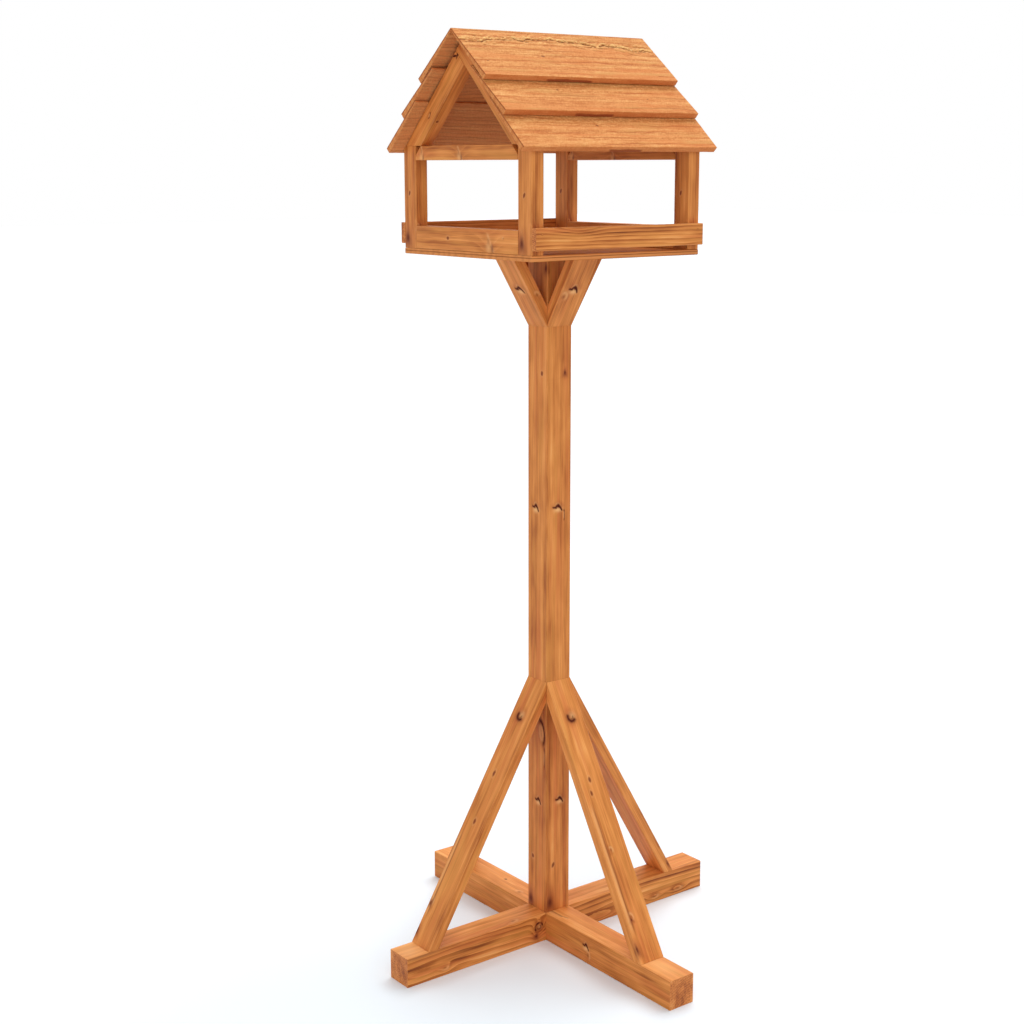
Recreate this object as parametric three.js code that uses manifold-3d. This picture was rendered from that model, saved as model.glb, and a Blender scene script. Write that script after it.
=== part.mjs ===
// Garden bird table: a crossed foot, a braced post and a small gabled feeding house.
// Millimetres, +Z up. The ridge runs along X; front is -Y, back +Y, left -X, right +X.
// The origin is on the ground at the middle of the foot's bounding box.

import * as THREE from 'three';
import { mergeVertices } from 'three/addons/utils/BufferGeometryUtils.js';
import Module from 'manifold-3d';

const wasm = await Module();
wasm.setup();

// Gaps between pieces
const seat = 0.25; // between two pieces that bear on each other
const screwClearance = 0.3; // round a screw in its hole
const overrun = 5; // how far a cutting tool runs past the face that it opens

// Foot and post
const postSide = 45;
const beamWidth = 45;
const beamHeight = 45;
const beamLength = 584;
const lapOffset = 12.5; // from the middle of each beam to its half lap
const trayHeight = 1050.5; // ground to the underside of the tray floor

// Braces, all of one stock
const braceThickness = 16;
const toeInset = 37.5; // end of a beam's short arm to the lower brace's toe
const lowerBraceRise = 371; // beam top to the upper corner on the post
const upperBraceReach = 62.5;
const upperBraceDrop = 102.5;

// Tray and walls
const houseLength = 300; // along the ridge, over the corner posts
const houseWidth = 300; // across the ridge, over the corner posts
const floorThickness = 8;
const cornerPostLength = 20; // section along the ridge
const cornerPostWidth = 30; // section across the ridge
const wallHeight = 144.5; // tray floor to the top of the corner posts
const lowerRailHeight = 32;
const upperRailHeight = 20;
const sideBoardHeight = 30;
const sideBoardThickness = 9;
const drainSlot = 6.5; // left open under each side board

// Roof
const pitch = THREE.MathUtils.degToRad(45);
const rafterDepth = 27;
const rafterToeInset = 43; // outer wall face to the rafter's inner toe on the wall top
const gableOverhang = 22;
const boardWidth = 98;
const boardThickEdge = 9.5;
const boardThinEdge = 3.5;
const eaveOverrun = 14.4; // lowest board past the rafter's outer toe, along the slope
const middleLap = 37.5; // middle board over the lowest
const ridgeLap = 34; // top board over the middle one
const ridgeLift = 3.7; // top board's upper edge above the rafter line
const ridgeGap = 0.5;

// Fasteners: coach screw through the half lap, countersunk wood screws elsewhere
const coach = { shank: 4, length: 100, head: 7.5, headHeight: 5.5, sink: 12 };
const washer = { radius: 11, thickness: 2 };
const footScrew = { shank: 2.5, length: 75, head: 5, headHeight: 3, sink: 12 };
const braceScrew = { shank: 2, length: 42, head: 4, headHeight: 2.5, sink: 3.5 };
const postScrew = { shank: 2.5, length: 60, head: 5, headHeight: 3, sink: 0.5 };
const cornerScrew = { shank: 2, length: 42, head: 4, headHeight: 2.5, sink: 0.5 };
const railScrew = { shank: 2, length: 60, head: 4, headHeight: 2.5, sink: 0.5 };
const rafterScrew = { shank: 2, length: 50, head: 4, headHeight: 2.5, sink: 6 };
const boardPin = { shank: 0.8, length: 30, head: 1.4, headHeight: 1, sink: 0 };
const screwSpread = 3.5; // corner and rail screws either side of the corner post's middle
const pinHeightShare = 0.72; // share of the side board's height at which its pin goes in
const tipShare = 0.12; // share of a screw's length that its point takes
const roundSides = 12;
const hexagonSides = 6;

// Places that follow from the sizes above
const postHalf = postSide / 2;
const beamTop = beamHeight;
const trayTop = trayHeight + floorThickness;
const wallTop = trayTop + wallHeight;
const halfLength = houseLength / 2;
const halfWidth = houseWidth / 2;
const innerHalfWidth = halfWidth - cornerPostWidth;
const gableMiddle = halfLength - cornerPostLength / 2;
const rafterToe = halfWidth - rafterToeInset;
const apexUnder = wallTop + rafterToe * Math.tan(pitch);
const apexTop = apexUnder + rafterDepth / Math.cos(pitch);
const rafterOuterToe = (apexTop - wallTop) / Math.tan(pitch);

const lowerBraceReach = beamLength / 2 - lapOffset - postHalf - toeInset;
const lowerLean = Math.atan2(lowerBraceReach, lowerBraceRise);
const upperLean = Math.atan2(upperBraceReach, upperBraceDrop);

// Materials
function stain(hex, roughness) {
  return new THREE.MeshStandardMaterial({ color: hex, roughness, metalness: 0 });
}
const stainedTimber = stain(0xc6803f, 0.62);
const sawnBoard = stain(0xe0a064, 0.82);
const trayPly = stain(0xb87640, 0.68);
const zincSteel = new THREE.MeshStandardMaterial({ color: 0xa9abad, roughness: 0.38, metalness: 1 });

// Everything stands on the post's axis, which is off the foot's middle by the lap offset
const birdTable = new THREE.Group();
const assembly = new THREE.Group();
assembly.position.set(-lapOffset, lapOffset, 0);
birdTable.add(assembly);

function addPiece(parent, name, geometry, material) {
  const mesh = new THREE.Mesh(geometry, material);
  mesh.name = name;
  parent.add(mesh);
  return mesh;
}

function boxPiece(parent, name, size, centre, material) {
  const mesh = addPiece(parent, name, new THREE.BoxGeometry(...size), material);
  mesh.position.set(...centre);
  return mesh;
}

// A prism: an outline in (across, up) pairs, pushed out both ways by half the given depth
function prism(outline, depth) {
  const shape = new THREE.Shape(outline.map(([across, up]) => new THREE.Vector2(across, up)));
  const geometry = new THREE.ExtrudeGeometry(shape, { depth, bevelEnabled: false });
  return geometry.translate(0, 0, -depth / 2);
}

// Stands a prism up: its outline lies across X and Z, its depth along Y
function standAlongX(mesh) {
  mesh.rotation.set(Math.PI / 2, 0, 0);
  return mesh;
}

// Its outline lies across Y and Z, its depth along X
function standAlongY(mesh) {
  mesh.rotation.set(Math.PI / 2, Math.PI / 2, 0);
  return mesh;
}

// Foot: two beams half lapped under the post, the front-to-back one on top
function beamOutline(start, notchBelow) {
  const end = start + beamLength;
  const lapHalf = beamWidth / 2 + seat;
  const middle = beamHeight / 2;
  if (notchBelow) {
    return [[start, 0], [-lapHalf, 0], [-lapHalf, middle + seat], [lapHalf, middle + seat],
      [lapHalf, 0], [end, 0], [end, beamHeight], [start, beamHeight]];
  }
  return [[start, 0], [end, 0], [end, beamHeight], [lapHalf, beamHeight], [lapHalf, middle],
    [-lapHalf, middle], [-lapHalf, beamHeight], [start, beamHeight]];
}

function buildFoot() {
  const shortArm = beamLength / 2 - lapOffset;
  const longArm = beamLength / 2 + lapOffset;
  const along = addPiece(assembly, 'foot_beam_cross', prism(beamOutline(-shortArm, false), beamWidth),
    stainedTimber);
  standAlongX(along);
  const across = addPiece(assembly, 'foot_beam_through', prism(beamOutline(-longArm, true), beamWidth),
    stainedTimber);
  standAlongY(across);
  return { along, across };
}

function buildPost() {
  const height = trayHeight - beamTop - 2 * seat;
  return boxPiece(assembly, 'post', [postSide, postSide, height],
    [0, 0, beamTop + seat + height / 2], stainedTimber);
}

// Braces: one on each face of the post, as wide as the post and flush with it
const sides = [
  { name: 'right', turn: 0 },
  { name: 'back', turn: Math.PI / 2 },
  { name: 'left', turn: Math.PI },
  { name: 'front', turn: -Math.PI / 2 },
];

function lowerBraceOutline() {
  const face = postHalf + seat;
  const foot = beamTop + seat;
  const toe = postHalf + lowerBraceReach;
  const shoulder = beamTop + lowerBraceRise;
  return [[toe - braceThickness / Math.cos(lowerLean), foot], [toe, foot], [face, shoulder],
    [face, shoulder - braceThickness / Math.sin(lowerLean)]];
}

function upperBraceOutline() {
  const face = postHalf + seat;
  const head = trayHeight - seat;
  const tip = postHalf + upperBraceReach;
  const heel = trayHeight - upperBraceDrop;
  return [[face, heel], [tip, head], [tip - braceThickness / Math.cos(upperLean), head],
    [face, heel + braceThickness / Math.sin(upperLean)]];
}

function buildBraces(prefix, outline) {
  return sides.map(({ name, turn }) => {
    const arm = new THREE.Group();
    arm.rotation.z = turn;
    assembly.add(arm);
    return standAlongX(addPiece(arm, `${prefix}_${name}`, prism(outline, postSide), stainedTimber));
  });
}

// Tray: a floor, four corner posts, a rail in each gable and a board along each side
function buildFloor() {
  return boxPiece(assembly, 'tray_floor', [houseLength, houseWidth, floorThickness],
    [0, 0, trayHeight + floorThickness / 2], trayPly);
}

// The outer top corner is planed back to the rafters' line, so that the roof board clears it
function cornerPostOutline() {
  const base = trayTop + seat;
  const planed = apexTop - halfWidth * Math.tan(pitch);
  return [[innerHalfWidth, base], [halfWidth, base], [halfWidth, Math.min(planed, wallTop - seat)],
    [Math.min(rafterOuterToe, halfWidth - seat), wallTop], [innerHalfWidth, wallTop]];
}

function mirrored(outline) {
  return outline.map(([across, up]) => [-across, up]).reverse();
}

const longEnds = [{ name: 'left', sign: -1 }, { name: 'right', sign: 1 }];
const longSides = [{ name: 'front', sign: -1 }, { name: 'back', sign: 1 }];

function handed(outline, sign) {
  return sign > 0 ? outline : mirrored(outline);
}

function buildCornerPosts() {
  const posts = {};
  for (const side of longSides) {
    for (const end of longEnds) {
      const name = `corner_post_${side.name}_${end.name}`;
      const post = addPiece(assembly, name,
        prism(handed(cornerPostOutline(), side.sign), cornerPostLength), stainedTimber);
      standAlongY(post).position.x = end.sign * gableMiddle;
      posts[`${side.name}_${end.name}`] = post;
    }
  }
  return posts;
}

function buildLowerRails() {
  const rails = {};
  for (const end of longEnds) {
    rails[end.name] = boxPiece(assembly, `lower_rail_${end.name}`,
      [cornerPostLength, 2 * (innerHalfWidth - seat), lowerRailHeight],
      [end.sign * gableMiddle, 0, trayTop + seat + lowerRailHeight / 2], stainedTimber);
  }
  return rails;
}

// Its top corners are cut back under the rafters
function upperRailOutline() {
  const reach = innerHalfWidth - seat;
  const under = wallTop - upperRailHeight;
  const lowCorner = apexUnder - seat - reach * Math.tan(pitch);
  return [[-reach, under], [reach, under], [reach, lowCorner], [rafterToe - seat, wallTop],
    [seat - rafterToe, wallTop], [-reach, lowCorner]];
}

function buildUpperRails() {
  for (const end of longEnds) {
    const rail = addPiece(assembly, `upper_rail_${end.name}`,
      prism(upperRailOutline(), cornerPostLength), stainedTimber);
    standAlongY(rail).position.x = end.sign * gableMiddle;
  }
}

function buildSideBoards() {
  const boards = {};
  const size = [houseLength, sideBoardThickness, sideBoardHeight];
  for (const side of longSides) {
    const outward = side.sign * (halfWidth + seat + sideBoardThickness / 2);
    boards[side.name] = boxPiece(assembly, `side_board_${side.name}`, size,
      [0, outward, trayTop + drainSlot + sideBoardHeight / 2], stainedTimber);
  }
  return boards;
}

// Roof frame: the front rafter runs up to the apex, the back one butts square against it
function throughRafterOutline() {
  const foot = wallTop + seat;
  const run = rafterDepth * Math.sin(pitch);
  return [[rafterToe - seat / Math.tan(pitch), foot], [rafterOuterToe - seat / Math.tan(pitch), foot],
    [0, apexTop], [-run, apexTop - run * Math.tan(pitch)]];
}

function buttedRafterOutline() {
  const foot = wallTop + seat;
  const run = rafterDepth * Math.sin(pitch) + seat;
  return [[rafterToe - seat / Math.tan(pitch), foot], [rafterOuterToe - seat / Math.tan(pitch), foot],
    [run, apexTop - run * Math.tan(pitch)], [seat, apexUnder - seat * Math.tan(pitch)]];
}

function buildRafters() {
  const rafters = {};
  for (const end of longEnds) {
    for (const side of longSides) {
      const outline = side.sign < 0 ? throughRafterOutline() : buttedRafterOutline();
      const rafter = addPiece(assembly, `rafter_${side.name}_${end.name}`,
        prism(handed(outline, side.sign), cornerPostLength), stainedTimber);
      standAlongY(rafter).position.x = end.sign * gableMiddle;
      rafters[`${side.name}_${end.name}`] = rafter;
    }
  }
  return rafters;
}

// Roof boards are laid out on the slope: down is measured from the rafters' apex along their top
// line, lift square off that line. Each board is thick at its lower edge and thin at its upper one.
function onSlope([down, lift]) {
  return [down * Math.cos(pitch) + lift * Math.sin(pitch),
    apexTop - down * Math.sin(pitch) + lift * Math.cos(pitch)];
}

// From the lower edge's underside corner, up the slope at a tilt to the rafters' line
function boardCorners([down, lift], tilt, width) {
  const along = [-Math.cos(tilt), -Math.sin(tilt)];
  const square = [-Math.sin(tilt), Math.cos(tilt)];
  const at = (up, out) => [down + up * along[0] + out * square[0],
    lift + up * along[1] + out * square[1]];
  return { lowerUnder: at(0, 0), lowerTop: at(0, boardThickEdge), upperTop: at(width, boardThinEdge),
    upperUnder: at(width, 0) };
}

// Where a board's top face, carried on up the slope, comes to the gap at the ridge
function plumbCorner({ lowerTop, upperTop }) {
  const fromGap = (corner) => onSlope(corner)[0] - ridgeGap / 2;
  const share = fromGap(lowerTop) / (fromGap(lowerTop) - fromGap(upperTop));
  return [0, 1].map((axis) => lowerTop[axis] + share * (upperTop[axis] - lowerTop[axis]));
}

function layRoof() {
  const rafterEnd = rafterOuterToe / Math.cos(pitch);
  const eave = boardCorners([rafterEnd + eaveOverrun, seat], 0, boardWidth);

  // The middle board's upper edge bears on the rafters, and below that it bears on the lowest
  // board: on its upper edge or, where the taper rises faster than the tilt, with its own lower one
  const taper = (boardThickEdge - boardThinEdge) / boardWidth;
  const middleTilt = Math.asin(Math.max((boardThinEdge + seat) / (boardWidth - middleLap),
    (boardThinEdge + taper * middleLap + seat) / boardWidth));
  const middle = boardCorners([eave.upperTop[0] + middleLap * Math.cos(middleTilt),
    seat + boardWidth * Math.sin(middleTilt)], middleTilt, boardWidth);

  // The top board bears on the middle one with its lower edge, and is cut plumb where it meets its
  // twin at the ridge
  const lapShare = ridgeLap / boardWidth;
  const bearing = [0, 1].map((axis) => middle.upperTop[axis]
    + lapShare * (middle.lowerTop[axis] - middle.upperTop[axis]));
  const lower = [bearing[0], bearing[1] + seat];
  const upper = [(ridgeGap / 2 - ridgeLift * Math.sin(pitch)) / Math.cos(pitch), ridgeLift];
  const width = Math.hypot(lower[0] - upper[0], lower[1] - upper[1]);
  const square = boardCorners(lower, Math.atan2(lower[1] - upper[1], lower[0] - upper[0]), width);
  const ridge = { ...square, upperTop: plumbCorner(square) };
  return { eave, middle, ridge };
}

function buildRoofBoards() {
  const courses = layRoof();
  for (const side of longSides) {
    for (const [course, corners] of Object.entries(courses)) {
      const { upperUnder, lowerUnder, lowerTop, upperTop } = corners;
      const outline = [upperUnder, lowerUnder, lowerTop, upperTop].map(onSlope);
      const board = addPiece(assembly, `roof_board_${side.name}_${course}`,
        prism(handed(outline, side.sign), houseLength + 2 * gableOverhang), sawnBoard);
      standAlongY(board);
    }
  }
}

// Solids for cutting and joining
function solidOf(geometry) {
  const bare = geometry.clone();
  bare.deleteAttribute('normal');
  bare.deleteAttribute('uv');
  const merged = mergeVertices(bare);
  return new wasm.Manifold(new wasm.Mesh({ numProp: 3,
    vertProperties: new Float32Array(merged.attributes.position.array),
    triVerts: new Uint32Array(merged.index.array) }));
}

function geometryOf(solid) {
  const mesh = solid.getMesh();
  const geometry = new THREE.BufferGeometry();
  geometry.setAttribute('position', new THREE.BufferAttribute(mesh.vertProperties, 3));
  geometry.setIndex(new THREE.BufferAttribute(mesh.triVerts, 1));
  geometry.computeVertexNormals();
  return geometry;
}

// Lathe about +Y from (radius, height) pairs that start and end on the axis
function lathe(profile) {
  const points = profile.map(([radius, height]) => new THREE.Vector2(radius, height));
  return new THREE.LatheGeometry(points, roundSides);
}

// A countersunk screw with its head's flat at the origin and its point along +Y
function screwGeometry({ shank, length, head, headHeight }) {
  return lathe([[0, 0], [head, 0], [shank, headHeight], [shank, length * (1 - tipShare)], [0, length]]);
}

// Its hole, with the counterbore that the screw's head went in through
function screwHole({ shank, length, head, headHeight, sink }) {
  const wide = head + screwClearance;
  const narrow = shank + screwClearance;
  return lathe([[0, -sink - overrun], [wide, -sink - overrun], [wide, screwClearance],
    [narrow, headHeight + screwClearance], [narrow, length * (1 - tipShare) + screwClearance],
    [0, length + screwClearance]]);
}

// The coach screw's hexagon head is below the origin, its shank along +Y above it
function coachScrewGeometry() {
  const shaft = solidOf(lathe([[0, -coach.headHeight / 2], [coach.shank, -coach.headHeight / 2],
    [coach.shank, coach.length * (1 - tipShare)], [0, coach.length]]));
  const hexagon = new THREE.CylinderGeometry(coach.head, coach.head, coach.headHeight,
    hexagonSides);
  return geometryOf(shaft.add(solidOf(hexagon.translate(0, -coach.headHeight / 2, 0))));
}

function washerGeometry() {
  const bore = coach.shank + screwClearance;
  const half = washer.thickness / 2;
  return lathe([[bore, -half], [washer.radius, -half], [washer.radius, half], [bore, half],
    [bore, -half]]);
}

function coachHole() {
  const wide = washer.radius + 2 * screwClearance;
  const narrow = coach.shank + screwClearance;
  const roof = washer.thickness + 2 * seat;
  return lathe([[0, roof - coach.sink - overrun], [wide, roof - coach.sink - overrun], [wide, roof],
    [narrow, roof], [narrow, coach.length * (1 - tipShare) + screwClearance],
    [0, coach.length + screwClearance]]);
}

// Turns +Y, the screws' own axis, to the given direction and moves the head to its place
function aim(object, from, direction) {
  object.position.copy(from);
  object.quaternion.setFromUnitVectors(new THREE.Vector3(0, 1, 0), direction.clone().normalize());
  return object;
}

function drill(timber, fastener, hole) {
  const toTimber = timber.matrixWorld.clone().invert().multiply(fastener.matrixWorld);
  const tool = solidOf(hole.clone().applyMatrix4(toTimber));
  timber.geometry = geometryOf(solidOf(timber.geometry).subtract(tool));
}

function driveScrew(parent, name, kind, entry, direction, timbers) {
  const sunk = entry.clone().addScaledVector(direction, kind.sink);
  const screw = aim(addPiece(parent, name, screwGeometry(kind), zincSteel), sunk, direction);
  birdTable.updateMatrixWorld(true);
  timbers.forEach((timber) => drill(timber, screw, screwHole(kind)));
}

function fastenFoot(foot, post, lowerBraces) {
  const up = new THREE.Vector3(0, 0, 1);
  const headTop = coach.sink - washer.thickness - 2 * seat;
  const screw = aim(addPiece(assembly, 'coach_screw', coachScrewGeometry(), zincSteel),
    new THREE.Vector3(0, 0, headTop), up);
  aim(addPiece(assembly, 'coach_screw_washer', washerGeometry(), zincSteel),
    new THREE.Vector3(0, 0, headTop + seat + washer.thickness / 2), up);
  birdTable.updateMatrixWorld(true);
  [foot.along, foot.across, post].forEach((timber) => drill(timber, screw, coachHole()));

  // Up through the beam and along the middle of each lower brace
  const middle = postHalf + lowerBraceReach - braceThickness / Math.cos(lowerLean) / 2;
  const entry = new THREE.Vector3(middle + beamTop * Math.tan(lowerLean), 0, 0);
  const lean = new THREE.Vector3(-Math.sin(lowerLean), 0, Math.cos(lowerLean));
  sides.forEach(({ name }, index) => {
    const beam = index % 2 === 0 ? foot.along : foot.across;
    driveScrew(lowerBraces[index].parent, `foot_screw_${name}`, footScrew, entry, lean,
      [beam, lowerBraces[index]]);
  });
}

function fastenFloor(floor, post, upperBraces) {
  const down = new THREE.Vector3(0, 0, -1);
  driveScrew(assembly, 'post_screw', postScrew, new THREE.Vector3(0, 0, trayTop), down, [floor, post]);

  // Down through the floor and along the middle of each upper brace
  const middle = postHalf + upperBraceReach - braceThickness / Math.cos(upperLean) / 2;
  const entry = new THREE.Vector3(middle + floorThickness * Math.tan(upperLean), 0, trayTop);
  const lean = new THREE.Vector3(-Math.sin(upperLean), 0, -Math.cos(upperLean));
  sides.forEach(({ name }, index) => {
    driveScrew(upperBraces[index].parent, `brace_screw_${name}`, braceScrew, entry, lean,
      [floor, upperBraces[index]]);
  });
}

// At each corner: the floor to the post, the post to the rail, the rafter and the side board to
// the post. The side board hides the rail's screw and the roof hides the rafter's.
function fastenCorners({ floor, cornerPosts, lowerRails, rafters, sideBoards }) {
  const down = new THREE.Vector3(0, 0, -1);
  const up = new THREE.Vector3(0, 0, 1);
  const postMiddle = halfWidth - cornerPostWidth / 2;
  const toeMiddle = (innerHalfWidth + rafterOuterToe) / 2;
  for (const side of longSides) {
    for (const end of longEnds) {
      const corner = `${side.name}_${end.name}`;
      const cornerPost = cornerPosts[corner];
      const inward = new THREE.Vector3(0, -side.sign, 0);
      driveScrew(assembly, `corner_screw_${corner}`, cornerScrew,
        new THREE.Vector3(end.sign * (gableMiddle + screwSpread), side.sign * postMiddle, trayHeight),
        up, [floor, cornerPost]);
      driveScrew(assembly, `rail_screw_${corner}`, railScrew,
        new THREE.Vector3(end.sign * (gableMiddle - screwSpread), side.sign * halfWidth,
          trayTop + lowerRailHeight / 2), inward, [cornerPost, lowerRails[end.name]]);
      driveScrew(assembly, `rafter_screw_${corner}`, rafterScrew,
        new THREE.Vector3(end.sign * gableMiddle, side.sign * toeMiddle,
          apexTop - toeMiddle * Math.tan(pitch)), down, [rafters[corner], cornerPost]);
      driveScrew(assembly, `board_pin_${corner}`, boardPin,
        new THREE.Vector3(end.sign * gableMiddle, side.sign * (halfWidth + seat + sideBoardThickness),
          trayTop + drainSlot + sideBoardHeight * pinHeightShare), inward,
        [sideBoards[side.name], cornerPost]);
    }
  }
}

const foot = buildFoot();
const post = buildPost();
const lowerBraces = buildBraces('lower_brace', lowerBraceOutline());
const upperBraces = buildBraces('upper_brace', upperBraceOutline());
const floor = buildFloor();
const cornerPosts = buildCornerPosts();
const lowerRails = buildLowerRails();
buildUpperRails();
const sideBoards = buildSideBoards();
const rafters = buildRafters();
buildRoofBoards();
fastenFoot(foot, post, lowerBraces);
fastenFloor(floor, post, upperBraces);
fastenCorners({ floor, cornerPosts, lowerRails, rafters, sideBoards });

export default birdTable;
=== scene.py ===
"""Dresses the bird table: planed stained timber, rough sawn roof boards, a plywood tray and zinc screws.

Lengths of the model are in metres. Inside the finishes they are in millimetres, because each finish turns
a piece's places into millimetres along the timber's own three axes first.
"""

import logging
import math
import random
from collections.abc import Callable
from dataclasses import dataclass, replace
from enum import Enum

import bmesh
import bpy
from mathutils import Matrix, Vector, noise


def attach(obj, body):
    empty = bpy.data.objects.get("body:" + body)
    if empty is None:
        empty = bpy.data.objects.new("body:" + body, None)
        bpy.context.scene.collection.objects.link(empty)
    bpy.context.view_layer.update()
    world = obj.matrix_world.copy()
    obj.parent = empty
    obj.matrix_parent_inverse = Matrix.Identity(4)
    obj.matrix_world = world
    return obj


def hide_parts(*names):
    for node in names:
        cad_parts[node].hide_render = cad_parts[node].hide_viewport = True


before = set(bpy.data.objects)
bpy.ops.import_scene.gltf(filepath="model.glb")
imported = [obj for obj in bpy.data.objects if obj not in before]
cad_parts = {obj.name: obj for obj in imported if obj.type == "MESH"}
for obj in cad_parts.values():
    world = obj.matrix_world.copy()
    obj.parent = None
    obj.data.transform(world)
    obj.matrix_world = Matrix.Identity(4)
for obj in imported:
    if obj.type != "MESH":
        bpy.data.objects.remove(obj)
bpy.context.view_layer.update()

log = logging.getLogger("bird_table")

MM = 0.001
TO_MM = 1000.0
WELD = 0.01 * MM
FLAT = math.radians(0.5)
BODY = "root"

UP = Vector((0, 0, 1))
DOWN = Vector((0, 0, -1))
RIGHT = Vector((1, 0, 0))
LEFT = Vector((-1, 0, 0))
BACK = Vector((0, 1, 0))
FRONT = Vector((0, -1, 0))

Colour = tuple[float, float, float, float]


def srgb(red: float, green: float, blue: float) -> Colour:
    """Turns a colour as a screen shows it into the linear one that a shader takes.

    Args:
        red: Red from 0 to 255.
        green: Green from 0 to 255.
        blue: Blue from 0 to 255.

    Returns:
        The linear colour with an alpha of one.
    """
    shares = [channel / 255 for channel in (red, green, blue)]
    linear = [s / 12.92 if s <= 0.04045 else ((s + 0.055) / 1.055) ** 2.4 for s in shares]
    return (*linear, 1.0)


@dataclass(frozen=True)
class Term:
    """A number that varies over a surface: a node's output with the arithmetic that a finish needs.

    Attributes:
        recipe: The material that the number belongs to.
        socket: The node output that carries it.
    """

    recipe: "NodeTree"
    socket: bpy.types.NodeSocket

    def __add__(self, other: "Value") -> "Term":
        """Adds a number or another term."""
        return self.recipe.math("ADD", self, other)

    def __sub__(self, other: "Value") -> "Term":
        """Takes a number or another term away."""
        return self.recipe.math("SUBTRACT", self, other)

    def __rsub__(self, other: "Value") -> "Term":
        """Takes this term away from a number."""
        return self.recipe.math("SUBTRACT", other, self)

    def __mul__(self, other: "Value") -> "Term":
        """Multiplies by a number or another term."""
        return self.recipe.math("MULTIPLY", self, other)

    def __truediv__(self, other: "Value") -> "Term":
        """Divides by a number or another term."""
        return self.recipe.math("DIVIDE", self, other)

    def fraction(self) -> "Term":
        """Gives what is left over a whole number."""
        return self.recipe.math("FRACT", self)

    def size(self) -> "Term":
        """Gives the number without its sign."""
        return self.recipe.math("ABSOLUTE", self)

    def wave(self) -> "Term":
        """Gives the cosine."""
        return self.recipe.math("COSINE", self)

    def bell(self) -> "Term":
        """Gives one at zero, falling off smoothly on both sides."""
        return self.recipe.math("EXPONENT", self.recipe.math("MULTIPLY", self * self, -1.0))

    def greater(self, other: "Value") -> "Term":
        """Gives the greater of this and another number."""
        return self.recipe.math("MAXIMUM", self, other)

    def step(self, low: float, high: float) -> "Term":
        """Rises smoothly from zero to one between two values, or falls where the first is the greater."""
        inputs = {"Value": self, "From Min": low, "From Max": high}
        return self.recipe.add("ShaderNodeMapRange", inputs, interpolation_type="SMOOTHSTEP")


@dataclass(frozen=True)
class Place:
    """A place that varies over a surface: a node's vector output with the moves that a finish needs.

    Attributes:
        recipe: The material that the place belongs to.
        socket: The node output that carries it.
    """

    recipe: "NodeTree"
    socket: bpy.types.NodeSocket

    def plus(self, other: "Place") -> "Place":
        """Adds another place."""
        return self.recipe.vector("ADD", self, other)

    def moved(self, x: float = 0.0, y: float = 0.0, z: float = 0.0) -> "Place":
        """Moves by a fixed step."""
        return self.recipe.vector("ADD", self, (x, y, z))

    def scaled(self, x: float, y: float, z: float) -> "Place":
        """Multiplies each part by its own number."""
        return self.recipe.vector("MULTIPLY", self, (x, y, z))

    def reach(self) -> Term:
        """Gives the distance from the axes' origin."""
        node = self.recipe.node("ShaderNodeVectorMath", {0: self}, operation="LENGTH")
        return Term(self.recipe, node.outputs["Value"])

    def parts(self) -> tuple[Term, Term, Term]:
        """Splits the place.

        Returns:
            Its three parts.
        """
        node = self.recipe.node("ShaderNodeSeparateXYZ", {0: self})
        x, y, z = (Term(self.recipe, output) for output in node.outputs)
        return x, y, z


Value = Term | Place | float | tuple[float, ...]


class NodeTree:
    """Writes nodes into a material, or into the light from all round."""

    def __init__(self, tree: bpy.types.NodeTree) -> None:
        """Takes the tree to write into."""
        self.tree = tree

    def wire(self, value: Value, socket: bpy.types.NodeSocket) -> None:
        """Links a term or a place to an input, or sets the input to a fixed value.

        Args:
            value: What goes into the input.
            socket: The input.
        """
        if isinstance(value, (Term, Place)):
            self.tree.links.new(value.socket, socket)
        else:
            socket.default_value = value

    def node(self, kind: str, inputs: dict[int | str, Value], **settings: object) -> bpy.types.Node:
        """Adds a node.

        Args:
            kind: The node's type.
            inputs: What goes into its inputs, by their names or numbers.
            **settings: The node's own options.

        Returns:
            The node.
        """
        node = self.tree.nodes.new(kind)
        for key, value in settings.items():
            setattr(node, key, value)
        for key, value in inputs.items():
            self.wire(value, node.inputs[key])
        return node

    def add(self, kind: str, inputs: dict[int | str, Value], **settings: object) -> Term:
        """Adds a node and gives its first output as a term."""
        return Term(self, self.node(kind, inputs, **settings).outputs[0])

    def math(self, operation: str, *values: Value) -> Term:
        """Adds one step of arithmetic on numbers."""
        return self.add("ShaderNodeMath", dict(enumerate(values)), operation=operation)

    def vector(self, operation: str, *values: Value) -> Place:
        """Adds one step of arithmetic on places."""
        node = self.node("ShaderNodeVectorMath", dict(enumerate(values)), operation=operation)
        return Place(self, node.outputs["Vector"])

    def tones(self, tone: Term, stops: tuple[tuple[float, Colour], ...]) -> Place:
        """Turns a tone into a colour.

        Args:
            tone: A term from zero to one.
            stops: The tones and their colours, in rising order.

        Returns:
            The colour.
        """
        node = self.node("ShaderNodeValToRGB", {0: tone})
        elements = node.color_ramp.elements
        while len(elements) < len(stops):
            elements.new(1.0)
        for element, (position, colour) in zip(elements, stops):
            element.position = position
            element.color = colour
        return Place(self, node.outputs["Color"])

    def blend(self, share: Value, under: Value, over: Value) -> Place:
        """Lays one colour over another.

        Args:
            share: How much of the upper colour shows.
            under: The lower colour.
            over: The upper colour.

        Returns:
            The joined colour.
        """
        inputs = {0: share, 6: under, 7: over}
        node = self.node("ShaderNodeMix", inputs, data_type="RGBA")
        return Place(self, node.outputs[2])

    def layered(self, colour: Place, *layers: tuple[Value, Value]) -> Place:
        """Lays colours over one, each over those before it.

        Args:
            colour: The lowest colour.
            *layers: How much of each further colour shows, and that colour.

        Returns:
            The joined colour.
        """
        for share, over in layers:
            colour = self.blend(share, colour, over)
        return colour


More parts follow.
